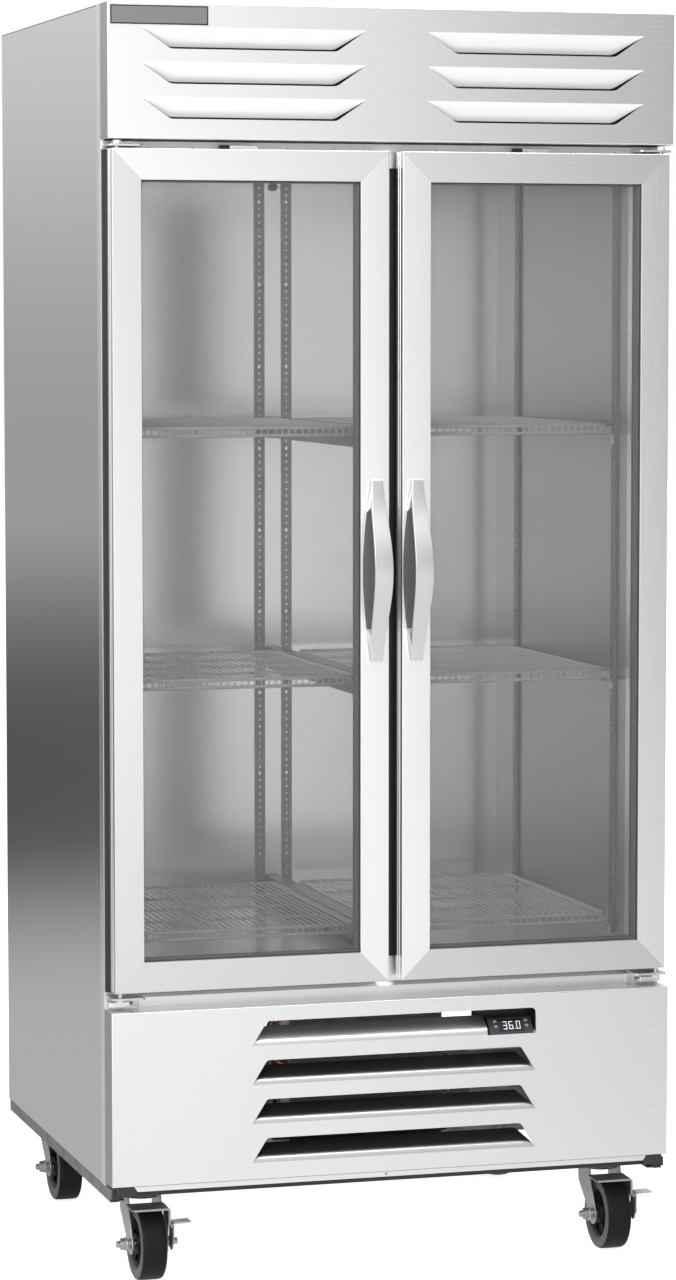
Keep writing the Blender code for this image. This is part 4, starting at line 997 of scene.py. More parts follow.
# ---------------------------------------------------------------- inside the cabinet
def make_shelf(column, level):
    """Wire shelf: a round frame, a second rail under its front, deck wires and three cross wires."""
    node = f"shelf_{column}_{level}"
    lo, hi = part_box(node)
    rail, thin, cross_r = 3.0 * MM, 1.3 * MM, 2.5 * MM
    x0, x1 = lo.x + rail, hi.x - rail
    y0, y1 = lo.y + rail, hi.y - rail
    upper, under, deck = hi.z - rail, lo.z + rail, hi.z - thin
    corner = 10 * MM
    frame_wire = []
    for i, (cx, cy) in enumerate(((x1 - corner, y1 - corner), (x0 + corner, y1 - corner),
                                  (x0 + corner, y0 + corner), (x1 - corner, y0 + corner))):
        frame_wire += arc((cx, cy, upper), corner, 90 * i, 90 * i + 90, 4, "XY")
    shelf = Piece(f"wire_shelf_{column}_{level}")
    shelf.add(tube(frame_wire, rail, 8, closed=True), WIRE)
    shelf.add(tube([(x0 + 4 * MM, y0, under), (x1 - 4 * MM, y0, under)], rail, 8), WIRE)
    count = 33
    for i in range(count):
        x = x0 + (x1 - x0) / (count + 1) * (i + 1)
        shelf.add(tube([(x, y0, deck), (x, y1, deck)], thin, 6), WIRE)
        shelf.add(tube([(x, y0 - 1.5 * MM, under), (x, y0 - 1.5 * MM, upper)], thin, 6), WIRE)
    for part in (0.25, 0.5, 0.75):
        y, z = y0 + (y1 - y0) * part, hi.z - 2 * thin - cross_r
        shelf.add(tube([(x0, y, z), (x1, y, z)], cross_r, 8), WIRE)
    shelf.close("shelf_wire", node)


def punched_strip(width, depth, z0, z1):
    """A shelf standard in its own axes: x across, y out of the wall, z up; each 12th hole is wide."""
    pitch, hole, half = 12.7 * MM, 2.3 * MM, width / 2
    sides, wide_each, wide = 12, 12, 1.5
    bm = bmesh.new()
    count = int((z1 - z0) / pitch)
    start = z0 + ((z1 - z0) - count * pitch) / 2
    around = [(k + 0.5) / sides for k in range(sides)]
    owner = [int(part * 8 + 0.5) % 8 for part in around]
    for i in range(count):
        low_z = start + pitch * i if i else z0
        high_z = start + pitch * (i + 1) if i < count - 1 else z1
        middle = start + pitch * (i + 0.5)
        across = hole * (wide if i % wide_each == 5 else 1.0)
        rim = [bm.verts.new((across * math.cos(a), depth, middle + across * math.sin(a)))
               for a in (2 * math.pi * part for part in around)]
        square = [(half, middle), (half, high_z), (0.0, high_z), (-half, high_z), (-half, middle),
                  (-half, low_z), (0.0, low_z), (half, low_z)]
        corners = [bm.verts.new((x, depth, z)) for x, z in square]
        for k in range(sides):
            m = (k + 1) % sides
            face = [rim[k], rim[m], corners[owner[m]]]
            if owner[m] != owner[k]:
                face.append(corners[owner[k]])
            bm.faces.new(face)
    bmesh.ops.remove_doubles(bm, verts=bm.verts, dist=0.01 * MM)
    edges = [e for e in bm.edges if e.is_boundary and all(abs(abs(v.co.x) - half) < 1e-5 for v in e.verts)]
    grown = bmesh.ops.extrude_edge_only(bm, edges=edges)["geom"]
    far = [v for v in grown if isinstance(v, bmesh.types.BMVert)]
    bmesh.ops.translate(bm, verts=far, vec=(0.0, -depth, 0.0))
    bmesh.ops.recalc_face_normals(bm, faces=bm.faces)
    if max(bm.faces, key=lambda f: middle_of(f).y).normal.y < 0:
        bmesh.ops.reverse_faces(bm, faces=bm.faces)
    return changed(bm, "SOLIDIFY", thickness=0.6 * MM, offset=-1.0, use_even_offset=True)


def make_standards():
    """Two punched standards on the back wall and two on each side wall."""
    for side, sign in SIDES:
        for where in ("back", "front", "rear"):
            on_back = where == "back"
            node = f"pilaster_back_{side}" if on_back else f"pilaster_{side}_{where}"
            lo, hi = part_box(node)
            if on_back:
                strip = punched_strip(hi.x - lo.x, 3 * MM, lo.z, hi.z)
                foot, turn = ((lo.x + hi.x) / 2, hi.y, 0.0), math.pi
            else:
                strip = punched_strip(hi.y - lo.y, hi.x - lo.x, lo.z, hi.z)
                foot, turn = (hi.x if sign > 0 else lo.x, (lo.y + hi.y) / 2, 0.0), sign * math.pi / 2
            name = f"shelf_standard_back_{side}" if on_back else f"shelf_standard_{side}_{where}"
            stood = moved(strip, Matrix.Translation(foot) @ Matrix.Rotation(turn, 4, "Z"))
            Piece(name).add(stood, STANDARD).close("zinc_sheet", node)


def make_shelf_supports():
    """Centre channels between the two columns of shelves, clips on the standards, and a probe."""
    channels = Piece("centre_shelf_channels")
    clips = Piece("shelf_clips")
    front, back = high("mullion").y + 1 * MM, CAVITY_BACK - 10 * MM
    tab_y = (low("shelf_left_top").y + 30 * MM, high("shelf_left_top").y - 40 * MM)
    for top in SHELF_LEVELS:
        z0, z1 = top - 39 * MM, top - 1 * MM
        outline = bent([(-15 * MM, z0), (-15 * MM, z1), (15 * MM, z1), (15 * MM, z0)], 2.5 * MM)
        channels.add(prism("Y", ribbon(outline, -1.5 * MM), front, back, 0.3 * MM), STANDARD)
        under = top - 19.4 * MM
        for side, sign in SIDES:
            for y in tab_y:
                channels.add(slab(span(sign, 15.2 * MM, 27 * MM), (y - 9 * MM, y + 9 * MM),
                                  (top - 22 * MM, top - 19.6 * MM), 0.5 * MM), STANDARD)
            for where, reach in (("front", 26 * MM), ("rear", 14 * MM)):
                lo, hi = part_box(f"pilaster_{side}_{where}")
                wall, y = min(abs(lo.x), abs(hi.x)) - 0.3 * MM, (lo.y + hi.y) / 2
                clips.add(slab(span(sign, wall, wall - 15.7 * MM), (y - 6 * MM, y + reach),
                               (under - 2 * MM, under), 0.5 * MM), BRIGHT_ZINC)
                clips.add(slab(span(sign, wall, wall - 1.9 * MM), (y - 6 * MM, y + 6 * MM),
                               (under - 16 * MM, under - 2.3 * MM), 0.5 * MM), BRIGHT_ZINC)
    channels.close("zinc_sheet")
    clips.close("zinc_sheet")
    tip = scaled([(0, 0), (7.5, 0), (7.5, -9), (6.4, -12), (3.6, -14), (0, -14.6)])
    probe = turned(tip, (0.5 * MM, CAVITY_BACK - GAP, 1.8702), "Y", 24)
    Piece("air_probe").add(probe, GREY_RUBBER).close("black_plastic")


def make_evaporator():
    cover_lo, cover_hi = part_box("evaporator_cover")
    cover = Piece("evaporator_housing").add(node_shape("evaporator_cover", 0.5 * MM), ALUMINIUM)
    middle = Vector(((cover_lo.x + cover_hi.x) / 2, cover_lo.y - 2.0 * MM, 1.995))
    for radius in (14, 26, 38, 50, 62, 74, 82):
        cover.add(tube(arc(middle, radius * MM, 0, 360, 36)[:-1], 1.1 * MM, 6, closed=True), BRIGHT_ZINC)
    for i in range(6):
        turn = math.pi * i / 3 + 0.3
        spoke = Vector((math.cos(turn), 0, math.sin(turn)))
        cover.add(tube([middle + spoke * 14 * MM, middle + spoke * 83 * MM], 1.4 * MM, 6), BRIGHT_ZINC)
    cover.close("aluminium", "evaporator_cover")

    lo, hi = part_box("evaporator_coil")
    coil = Piece("evaporator_fins")
    add_fins(coil, lo, hi, 48, 0.25 * MM, 24 * MM, 1 * MM)
    end = 14 * MM
    add_serpentine(coil, lo.x + end, hi.x - end, lo.y + 30 * MM, lo.z + 20 * MM, 5, 4, 24 * MM, 60 * MM)
    coil.close("aluminium", "evaporator_coil")
    rotor = Piece("evaporator_rotor", "evaporator_fan_rotor")
    add_fan(rotor, "evaporator_fan", 4)
    rotor.close("black_plastic", "evaporator_fan")


def add_fins(piece, lo, hi, count, half, inset, clear_y):
    """Thin upright fins across a coil's box."""
    for i in range(count):
        x = lo.x + inset + (hi.x - lo.x - 2 * inset) * i / (count - 1)
        fin = slab((x - half, x + half), (lo.y + clear_y, hi.y - clear_y), (lo.z + 1 * MM, hi.z - 1 * MM))
        piece.add(fin, ALUMINIUM)


def add_serpentine(piece, x0, x1, y, z, rows, ranks, row_pitch, rank_pitch, radius=4.2 * MM):
    """Copper tubes from end to end with round return bends."""
    for rank in range(ranks):
        depth = y + rank_pitch * rank
        for row in range(rows):
            height = z + row_pitch * row
            piece.add(tube([(x0, depth, height), (x1, depth, height)], radius, 8), COPPER)
            if row < rows - 1:
                side, start, stop = (x1, -90, 90) if row % 2 == 0 else (x0, 270, 90)
                centre = (side, depth, height + row_pitch / 2)
                piece.add(tube(arc(centre, row_pitch / 2, start, stop, 8), radius, 8), COPPER)


def add_fan(piece, node, blades):
    """Moulded hub with twisted, curved blades."""
    lo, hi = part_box(node)
    centre = (lo + hi) / 2
    radius = (hi.z - lo.z) / 2 - 1.5 * MM
    depth = min(hi.y - lo.y, 30 * MM) / 2 - 1 * MM
    hub, root = 26 * MM, 25 * MM
    profile = [(0.0, -depth), (hub - 4 * MM, -depth), (hub - 1 * MM, -depth + 1 * MM), (hub, -depth + 4 * MM),
               (hub, depth), (0.0, depth)]
    piece.add(turned(profile, centre, "Y", 36), BLACK_PLASTIC)
    rows, flat = 7, 0.8
    for b in range(blades):
        bm = bmesh.new()
        grid = []
        for part in (i / rows for i in range(rows + 1)):
            r = root + (radius - hub) * part
            chord, pitch, lead = (math.radians(a) for a in (54 - 6 * part, 38 - 16 * part, 10 * part))
            row = []
            for across in (k / rows - 0.5 for k in range(rows + 1)):
                angle = lead + chord * across + 2 * math.pi * b / blades
                camber = 0.06 * r * (1 - 4 * across * across)
                y = max(-depth, min(depth, -across * chord * r * math.tan(pitch) * flat + camber)) * flat
                row.append(bm.verts.new(centre + Vector((r * math.cos(angle), y, r * math.sin(angle)))))
            grid.append(row)
        for one, two in zip(grid, grid[1:]):
            for k in range(rows):
                bm.faces.new((one[k], one[k + 1], two[k + 1], two[k]))
        piece.add(changed(bm, "SOLIDIFY", thickness=1.6 * MM, offset=0.0), BLACK_PLASTIC)


def make_lamp():
    lo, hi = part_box("led_lamp")
    end = 7 * MM
    lens = scaled([(2, 7), (2, 3), (5, 0.6), (12, 0), (20, 0.6)], lo.y, lo.z)
    lens += [(hi.y - 5 * MM, lo.z + 4 * MM), (hi.y - 3 * MM, lo.z + 7 * MM)]
    lamp = Piece("led_bar").add(prism("X", lens, lo.x + 8 * MM, hi.x - 8 * MM), LENS)
    lamp.add(slab((lo.x + end, hi.x - end), (lo.y, hi.y), (lo.z + 7.2 * MM, hi.z), 1 * MM), ALUMINIUM)
    for x in ((lo.x, lo.x + end), (hi.x - end, hi.x)):
        lamp.add(slab(x, (lo.y, hi.y), (lo.z, hi.z), 1.2 * MM), BLACK_PLASTIC)
    lamp.close("lamp_lens", "led_lamp")


# ---------------------------------------------------------------- machine compartment
def make_condenser():
    lo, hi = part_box("condenser_coil")
    lo.x, hi.x = -0.155, 0.121
    coil = Piece("condenser_fins")
    add_fins(coil, lo, hi, 84, 0.22 * MM, 4 * MM, 0.6 * MM)
    for x in ((lo.x, lo.x + 1.6 * MM), (hi.x - 1.6 * MM, hi.x)):
        coil.add(slab(x, (lo.y, hi.y), (lo.z, hi.z), 0.4 * MM), ZINC)
    y, z = lo.y + 14 * MM, lo.z + 14 * MM
    add_serpentine(coil, lo.x - 5 * MM, hi.x + 5 * MM, y, z, 9, 2, 26 * MM, 26 * MM)
    header = lo.x - 24 * MM
    outlet = [(lo.x - 5 * MM, z), (header, z), (header - 8 * MM, z + 8 * MM),
              (header - 8 * MM, hi.z - 30 * MM), (header, hi.z - 20 * MM)]
    coil.add(tube([(u, y, v) for u, v in outlet], 4.2 * MM, 8), COPPER)
    coil.close("aluminium", "condenser_coil")

    shroud = Piece("fan_shroud").add(node_shape("condenser_shroud", 0.6 * MM), DARK_STEEL)
    shroud.close("dark_steel", "condenser_shroud")
    rotor = Piece("condenser_rotor", "condenser_fan_rotor")
    add_fan(rotor, "condenser_fan", 5)
    rotor.close("black_plastic", "condenser_fan")


def make_compressor():
    """Domed compressor with feet and pipes, and the small parts that stand round it."""
    lo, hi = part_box("compressor")
    dome = [(0.0, 0.0), (60, 0.0), (70, 3), (76, 10), (78, 20), (78, 70), (80.0, 71), (80.0, 76), (78, 77),
            (78, 104), (76, 122), (70, 138), (58, 151), (40, 160), (20, 165), (0.0, 166)]
    shell = Piece("compressor_shell").add(turned(scaled(dome), (0.020, 0.170, 0.200), "Z", 48), DARK_STEEL)
    for x in ((lo.x, -0.052), (0.092, hi.x)):
        shell.add(slab(x, (lo.y, hi.y), (lo.z + 1 * MM, lo.z + 5 * MM), 1 * MM), DARK_STEEL)
    foot = [(0, 0), (9, 0), (10, 2), (8, 5), (10, 8), (9, 11), (3, 12), (3, 17), (0, 17)]
    for x in (lo.x + 14 * MM, hi.x - 14 * MM):
        for y in (lo.y + 16 * MM, hi.y - 16 * MM):
            shell.add(turned(scaled(foot), (x, y, lo.z), "Z", 20), RUBBER)
    shell.add(block((0.096, 0.137, 0.237), (0.129, 0.203, 0.299), 3 * MM), BLACK_PLASTIC)
    suction = [(-0.045, 0.150, 0.300), (-0.085, 0.150, 0.302), (-0.105, 0.150, 0.322), (-0.108, 0.150, 0.380),
               (-0.108, 0.165, 0.430), (-0.108, 0.200, 0.462)]
    discharge = [(-0.042, 0.190, 0.270), (-0.110, 0.190, 0.268), (-0.150, 0.170, 0.268),
                 (-0.188, 0.060, 0.290), (-0.190, -0.120, 0.330), (-0.188, -0.230, 0.400)]
    shell.add(tube(suction, 5 * MM, 10), COPPER)
    shell.add(tube(discharge, 3.6 * MM, 10), COPPER)
    shell.close("dark_steel", "compressor")

    drier = [(0, -42), (4, -42), (5, -34), (13, -28), (13, 28), (5, 34), (4, 42), (0, 42)]
    drier = turned(scaled(drier), (-0.225, -0.235, 0.222), "X", 24)
    Piece("filter_drier").add(drier, DRIER).close("zinc_sheet")
    Piece("unit_base_tray").add(node_shape("unit_tray", 0.5 * MM), ZINC).close("zinc_sheet", "unit_tray")
    box_piece = Piece("junction_box").add(block((0.215, -0.150, 0.205), (0.330, 0.020, 0.330), 2 * MM), ZINC)
    for x in (0.225, 0.320):
        for z in (0.215, 0.320):
            box_piece.add(screw((x, 0.020, z), "Y", 3 * MM, 1.5 * MM), SCREW)
    box_piece.close("zinc_sheet")
    middle = (low("cord_gland") + high("cord_gland")) / 2
    collar = [(0, -14), (9.5, -14), (9.5, 0.4), (16, 0.4), (16, 7), (15, 8), (11.5, 10), (10.6, 15),
              (9.6, 22), (8.5, 28), (4.5, 28), (4.5, 20), (0, 20)]
    gland = turned(scaled(collar), (middle.x, 0.330, middle.z), "Y", 28)
    Piece("cord_gland_body").add(gland, BLACK_PLASTIC).close("black_plastic", "cord_gland")


def make_controller():
    """Tilted head with a window, a reading and four oval keys, in a dark recess behind the top louvre."""
    tilt = math.radians(35)
    x0, x1 = low("controller_housing").x, high("controller_housing").x
    face, deep, lift = 31.6 * MM, 28 * MM, 0.8 * MM
    up = Vector((0.0, math.sin(tilt), math.cos(tilt)))
    out = Vector((0.0, -math.cos(tilt), math.sin(tilt)))
    axes = Matrix((Vector((1.0, 0.0, 0.0)), up, out)).transposed().to_4x4()
    axes.translation = Vector((0.0, FRONT + lift, CONTROL_BEND_Z + lift))

    def oval(x, v, half_wide, half_tall, sides):
        return [(x + half_wide * MM * u, v + half_tall * MM * w) for u, w in ring(0.0, 0.0, 1.0, sides)]

    shell = moved(block((x0, 0.0, -deep), (x1, face, 0.0), 1.0 * MM), axes)
    places = ((0.1826, 0.0236), (0.1830, 0.0139), (0.2389, 0.0236), (0.2392, 0.0139))
    for x, v in places:
        shell = cut(shell, moved(prism("Z", oval(x, v, 3.8, 2.9, 20), -4.5 * MM, 3 * MM), axes))
    head = Piece("controller_head").add(shell, BLACK_PLASTIC)
    window = block((0.1885, 4.2 * MM, 0.05 * MM), (0.2335, face - 4.2 * MM, 0.35 * MM), 0.1 * MM)
    head.add(moved(window, axes), GLOSS_BLACK)
    raised = (0.4 * MM, 0.55 * MM)
    for figure, left in (("3", 0.1965), ("6", 0.2072), ("0", 0.2205)):
        for bar in digit_bars(figure, left, 8.2 * MM, 7.0 * MM, 14.6 * MM, 1.15 * MM, raised):
            head.add(moved(bar, axes), DIGIT)
    head.add(moved(prism("Z", ring(0.2176, 9.0 * MM, 0.7 * MM, 10), *raised), axes), DIGIT)
    head.close("black_plastic", "controller_housing")
    for index, (x, v) in enumerate(places, 1):
        key = Piece(f"key_{index}", f"button_{index}")
        key.add(moved(prism("Z", oval(x, v, 3.3, 2.4, 24), -2.7 * MM, 1.2 * MM, 0.5 * MM), axes), BUTTON)
        key.close("grey_button", f"controller_button_{index}")

    wall = 1.2 * MM
    right, top = 0.2555, 0.4625
    front, back = FRONT + 2.2 * MM, FRONT + 44 * MM
    inner_right, inner_back = right - wall - GAP, back - wall - GAP
    surround = Piece("controller_recess")
    for x, y, z in (((x0 - 20 * MM, right), (back - wall, back), (0.406, top)),
                    ((right - wall, right), (front, inner_back), (0.406, top)),
                    ((x0 - 3 * MM, inner_right), (front, inner_back), (top - 10 * MM, top - 9 * MM))):
        surround.add(slab(x, y, z, 0.2 * MM), BLACK_PLASTIC)
    surround.close("black_plastic")


def digit_bars(figure, left, bottom, width, height, bar, raised):
    """Seven-segment figure as thin raised bars."""
    half, soft = height / 2, 0.25 * MM
    segments = {
        "a": (0, height - bar, width, height), "g": (0, half - bar / 2, width, half + bar / 2),
        "d": (0, 0, width, bar), "f": (0, half, bar, height), "b": (width - bar, half, width, height),
        "e": (0, 0, bar, half), "c": (width - bar, 0, width, half),
    }
    for name in {"3": "abcdg", "6": "acdefg", "0": "abcdef"}[figure]:
        u0, v0, u1, v1 = segments[name]
        yield slab((left + u0 + soft, left + u1 - soft), (bottom + v0 + soft, bottom + v1 - soft), raised)


# ---------------------------------------------------------------- casters
def make_caster(place_name, x, axle_y):
    """Swivel race with its balls, fork with axle and nuts, wheel, and the plate's bolts."""
    swivel_y = axle_y + AXLE_BEHIND
    axle = Vector((x, axle_y, AXLE_Z))
    top = BASE_Z - GAP
    fork = Piece(f"fork_{place_name}", f"{place_name}_swivel")
    balls = 14

    def scallop(r, turn):
        return r + (1.3 * MM * math.cos(balls * turn) if r > 30 * MM else 0.0)

    race = [(0.0, 135.5), (30, 135.5), (33.5, 136.5), (35.0, 139.0), (34.0, 141.8), (32.0, 144.4),
            (29, top / MM), (0.0, top / MM)]
    fork.add(turned(scaled(race), (x, swivel_y, 0.0), "Z", 112, scallop), CASTER_ZINC)
    ball = [(0.0, -4.2), (2.4, -3.4), (3.8, -1.6), (4.2, 0.0), (3.8, 1.6), (2.4, 3.4), (0.0, 4.2)]
    for u, v in ring(x, swivel_y, 31.5 * MM, balls, math.pi / balls):
        fork.add(turned(scaled(ball), (u, v, 0.1425), "Z", 10), CASTER_ZINC)
    inner, outer, fork_top = 26.5 * MM, 29.5 * MM, 0.1395
    bridge = rectangle(x - outer, x + outer, swivel_y - 26 * MM, swivel_y + 33 * MM)
    fork.add(prism("Z", bridge, 0.1368, fork_top, 0.8 * MM), CASTER_ZINC)
    foot = [(point.y, point.z) for point in arc(axle, 19 * MM, 180, 360, 12, "YZ")]
    leg = [*foot, (swivel_y + 30 * MM, 0.108), (swivel_y + 33 * MM, fork_top), (swivel_y - 26 * MM, fork_top),
           (swivel_y - 34 * MM, 0.112)]
    for _, sign in SIDES:
        near, far = span(sign, inner, outer)
        fork.add(prism("X", leg, x + near, x + far, 0.8 * MM), CASTER_ZINC)
        dimple = [(r, sign * h) for r, h in scaled([(0, 0), (3.2, 0), (2.4, 0.8), (0, 1.0)])]
        fork.add(turned(dimple, (x + sign * outer, swivel_y - 20 * MM, 0.1005), "X", 16), CASTER_ZINC)
    for r, start, stop, ease, sides, look in ((5.5, -53, 53, 0.8, 24, CASTER_ZINC),
                                              (12.5, -37.5, -35.5, 0.4, 28, BRIGHT_ZINC),
                                              (8.0, -35.5, -29.5, 0.4, 24, CASTER_ZINC)):
        fork.add(turned(disc_profile(r * MM, start * MM, stop * MM, ease * MM), axle, "X", sides), look)
    fork.add(hex_nut(axle, 10.5 * MM, -46 * MM, -37.5 * MM), CASTER_ZINC)
    fork.add(hex_nut(axle, 9.5 * MM, 38.0 * MM, 45.5 * MM), CASTER_ZINC)
    fork.close("zinc_sheet", f"caster_fork_{place_name}")

    make_wheel(place_name, axle)
    bolts = Piece(f"caster_bolts_{place_name}")
    for dx in (-37.83 * MM, 37.83 * MM):
        for dy in (-30 * MM, 30 * MM):
            head = ring(x + dx, swivel_y + dy, 6.2 * MM, 6, 0.3)
            bolts.add(prism("Z", head, top - 5 * MM, top, 0.6 * MM), BRIGHT_ZINC)
    bolts.close("zinc_sheet")
    if place_name.startswith("front"):
        make_brake(place_name, x, axle_y)


def make_wheel(place_name, axle):
    """Tread, rim and a ribbed web; one half of each section is the other's mirror."""
    tread = [(46, 21.4), (50, 22.3), (57, 22.6), (60.6, 20.8), (62.0, 18.0), (62.4, 13), (62.5, 6)]
    rim = [(41.0, 13.0), (42, 19.5), (44, 20.8), (45.9, 21.0)]
    web = [(7.2, 20), (17, 20), (18.5, 18.5), (20, 12.5), (24, 11.0), (38, 11.0), (40.9, 12.9)]
    wheel = Piece(f"wheel_{place_name}", f"{place_name}_wheel")
    for half, look, sides in ((tread, TYRE, 72), (rim, RIM, 72), (web, HUB, 48)):
        section = [(r, -w) for r, w in half] + list(reversed(half))
        wheel.add(turned(scaled(section), axle, "X", sides), look)
    ribs = 5
    for i in range(ribs):
        spin = Matrix.Translation((0.0, axle.y, axle.z)) @ Matrix.Rotation(2 * math.pi * i / ribs, 4, "X")
        for _, sign in SIDES:
            near, far = span(sign, 11.2 * MM, 16.0 * MM)
            rib = slab((axle.x + near, axle.x + far), (-1.6 * MM, 1.6 * MM), (19 * MM, 41 * MM), 0.8 * MM)
            wheel.add(moved(rib, spin), HUB)
    wheel.paint(RIM, lambda face: abs(face.normal.x) > 0.75 and (middle_of(face) - axle).length > 42 * MM)
    wheel.close("wheel_rubber", f"caster_wheel_{place_name}")


def make_brake(place_name, x, axle_y):
    """Bent sheet over the tread with a side arm to the axle, and a toe pedal."""
    lever = Piece(f"brake_{place_name}", f"{place_name}_brake")
    thick = 2.6 * MM
    right, top = x + 33.9 * MM, 0.1287
    profile = bent([(x - 33.5 * MM, top), (right, top), (right, 0.112)], 5 * MM, 5)
    shoe = prism("Y", ribbon(profile, -thick), axle_y - 32 * MM, axle_y + 11 * MM, 0.5 * MM)
    for vert in shoe.verts:
        if vert.co.y < axle_y - 26 * MM and vert.co.z > 0.12:
            vert.co.z -= 2.0 * MM
    lever.add(shoe, SHOE_STEEL)
    side, lip_z = right + 0.2 * MM, top - 1.8 * MM
    edge = bent([(x - 30 * MM, lip_z), (side, lip_z), (side, 0.098)], 5 * MM, 5)
    edge = prism("Y", ribbon(edge, -3.8 * MM), axle_y - 33.4 * MM, axle_y - 31.8 * MM, 0.3 * MM)
    lever.add(edge, CASTER_ZINC)
    web = scaled([(-47, 99), (-20, 99), (-18, 62), (-30, 54), (-38, 58), (-46, 74)], axle_y)
    lever.add(prism("X", web, right + 0.3 * MM, right + 2.8 * MM, 0.5 * MM), SHOE_STEEL)
    arm = scaled([(11, 111.8), (-32, 111.8), (-20, 94), (-17, 80), (-16, 50), (-10, 45), (10, 45), (15, 52),
                  (14, 95)], axle_y)
    hole = ring(axle_y, AXLE_Z, 7.5 * MM, 20)
    lever.add(prism("X", arm, right - thick, right, 0.5 * MM, (hole,)), CASTER_ZINC)
    pedal = bent(scaled([(33.9, 94.5), (40, 100.5), (68, 101.5)], x), 4 * MM, 4)
    tread = prism("Y", ribbon(pedal, thick), axle_y - 42 * MM, axle_y - 14 * MM, 0.7 * MM)
    lever.add(tread, BRIGHT_ZINC)
    lever.close("zinc_sheet", f"brake_lever_{place_name}")


# ---------------------------------------------------------------- stage
def make_stage():
    """Pale floor: white to the camera, a soft pattern of greys to the reflections."""
    size = 30.0
    floor_mesh = bpy.data.meshes.new("studio_floor")
    bm = bmesh.new()
    bmesh.ops.create_grid(bm, x_segments=2, y_segments=2, size=size)
    bm.to_mesh(floor_mesh)
    bm.free()
    floor = bpy.data.objects.new("studio_floor", floor_mesh)
    bpy.context.scene.collection.objects.link(floor)
    look = bpy.data.materials.new("floor_paper")
    look.use_nodes = True
    nodes = Nodes(look.node_tree)
    nodes.tree.nodes.remove(nodes.tree.nodes["Principled BSDF"])
    paper = nodes.node("BsdfDiffuse", Color=(0.55, 0.55, 0.55, 1.0))
    lit = nodes.node("Emission", Strength=0.85)
    both = nodes.node("AddShader")
    nodes.link(paper.outputs["BSDF"], both.inputs[0])
    nodes.link(lit.outputs["Emission"], both.inputs[1])

    x, y, _ = nodes.split(nodes.node("TexCoord").outputs["Object"])
    fade, blend, arithmetic = nodes.fade, nodes.blend, nodes.arithmetic
    paler = arithmetic("MULTIPLY", fade(x, -0.3, 2.4, 1.0, 0.62), fade(y, -5.0, -1.0, 1.04, 0.92))
    spot_x = arithmetic("MULTIPLY", fade(x, 0.3, 1.1, 0.0, 1.0), fade(x, 1.3, 2.1, 1.0, 0.0))
    spot_y = arithmetic("MULTIPLY", fade(y, -6.0, -4.9, 0.0, 1.0), fade(y, -4.2, -3.2, 0.34, 0.0))
    near = arithmetic("ADD", paler, arithmetic("MULTIPLY", spot_x, spot_y))
    far = fade(arithmetic("DIVIDE", x, y), -0.35, -0.27, 0.30, 1.65)
    front = blend(fade(y, -11.0, -5.5, 0.0, 1.0), far, near)
    behind = arithmetic("ADD", fade(y, 2.2, 5.6, 0.50, 0.07), fade(y, 8.0, 24.0, 0.0, 0.33))
    level = blend(fade(y, -0.4, 0.5, 0.0, 1.0), front, behind)
    reflected = nodes.node("Emission")
    nodes.link(level, reflected.inputs["Strength"])
    seen = nodes.node("LightPath").outputs["Is Camera Ray"]
    nodes.choose(seen, reflected.outputs["Emission"], both.outputs["Shader"], "Material Output")
    floor_mesh.materials.append(look)


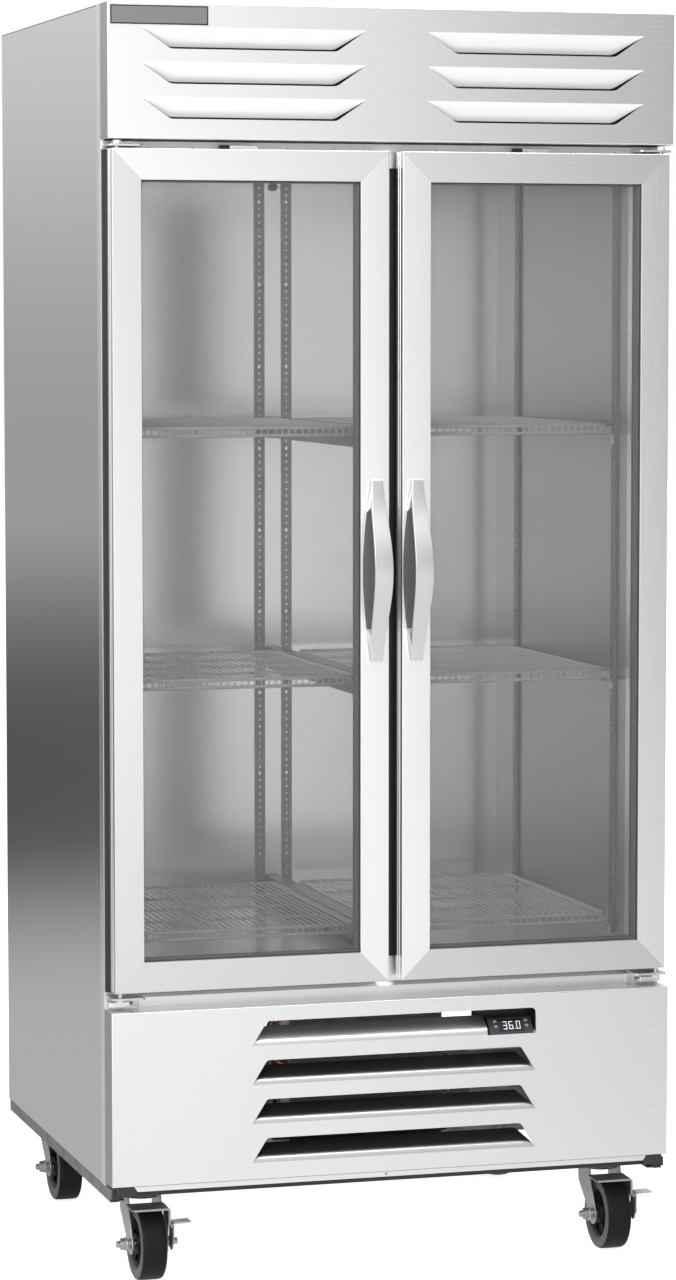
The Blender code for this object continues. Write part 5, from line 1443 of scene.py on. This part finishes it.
def make_world():
    """White background; the reflections see a room that darkens to the right and behind."""
    world = bpy.data.worlds.new("studio")
    bpy.context.scene.world = world
    world.use_nodes = True
    nodes = Nodes(world.node_tree)
    x, y, z = nodes.split(nodes.node("TexCoord").outputs["Generated"])
    fade, blend = nodes.fade, nodes.blend
    front = fade(x, 0.16, 0.41, 1.45, 0.0)
    rear = fade(z, -0.03, 0.10, 0.38, 0.78)
    around = blend(fade(y, -0.25, 0.25, 0.0, 1.0), front, rear)
    above = fade(x, -1.0, 1.0, 1.15, 0.85)
    white = (1.0, 1.0, 1.0, 1.0)
    room = nodes.tree.nodes["Background"]
    room.inputs["Color"].default_value = white
    nodes.link(blend(fade(z, 0.35, 0.85, 0.0, 1.0), around, above), room.inputs["Strength"])
    paper = nodes.node("Background", Color=white)
    seen = nodes.node("LightPath").outputs["Is Camera Ray"]
    nodes.choose(seen, room.outputs["Background"], paper.outputs["Background"], "World Output")


def add_light(name, place_at, look_at, size, power):
    data = bpy.data.lights.new(name, "AREA")
    data.shape, data.size, data.energy = "DISK", size, power
    lamp = bpy.data.objects.new(name, data)
    lamp.location = place_at
    lamp.rotation_euler = (Vector(look_at) - Vector(place_at)).to_track_quat("-Z", "Y").to_euler()
    bpy.context.scene.collection.objects.link(lamp)


def make_camera():
    """The photo's own view, solved from its straight edges."""
    data = bpy.data.cameras.new("camera")
    data.lens = 113.46
    data.sensor_width = 36.0
    data.sensor_fit = "AUTO"
    camera = bpy.data.objects.new("camera", data)
    camera.location = (-2.0048, -6.8871, 1.6382)
    camera.rotation_euler = (math.radians(85.357), 0.0, math.radians(-16.349))
    bpy.context.scene.collection.objects.link(camera)
    bpy.context.scene.camera = camera


def main():
    bpy.context.scene.view_settings.view_transform = "Standard"
    make_camera()
    make_stage()
    make_world()
    add_light("key", (-3.2, -4.2, 3.6), (0.0, 0.0, 1.1), 2.6, 120.0)
    add_light("top", (0.6, -1.2, 5.0), (0.0, 0.0, 1.0), 2.4, 110.0)

    make_cabinet()
    make_hood()
    make_lower_panel()
    for side, sign in SIDES:
        make_door(side, sign)
    make_hinges()
    for column, _ in SIDES:
        for level in ("bottom", "middle", "top"):
            make_shelf(column, level)
    make_standards()
    make_shelf_supports()
    make_evaporator()
    make_lamp()
    make_condenser()
    make_compressor()
    make_controller()
    for side, sign in SIDES:
        for end in ("front", "rear"):
            lo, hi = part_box(f"caster_wheel_{end}_{side}")
            make_caster(f"{end}_{side}", sign * 0.4164, (lo.y + hi.y) / 2)


main()
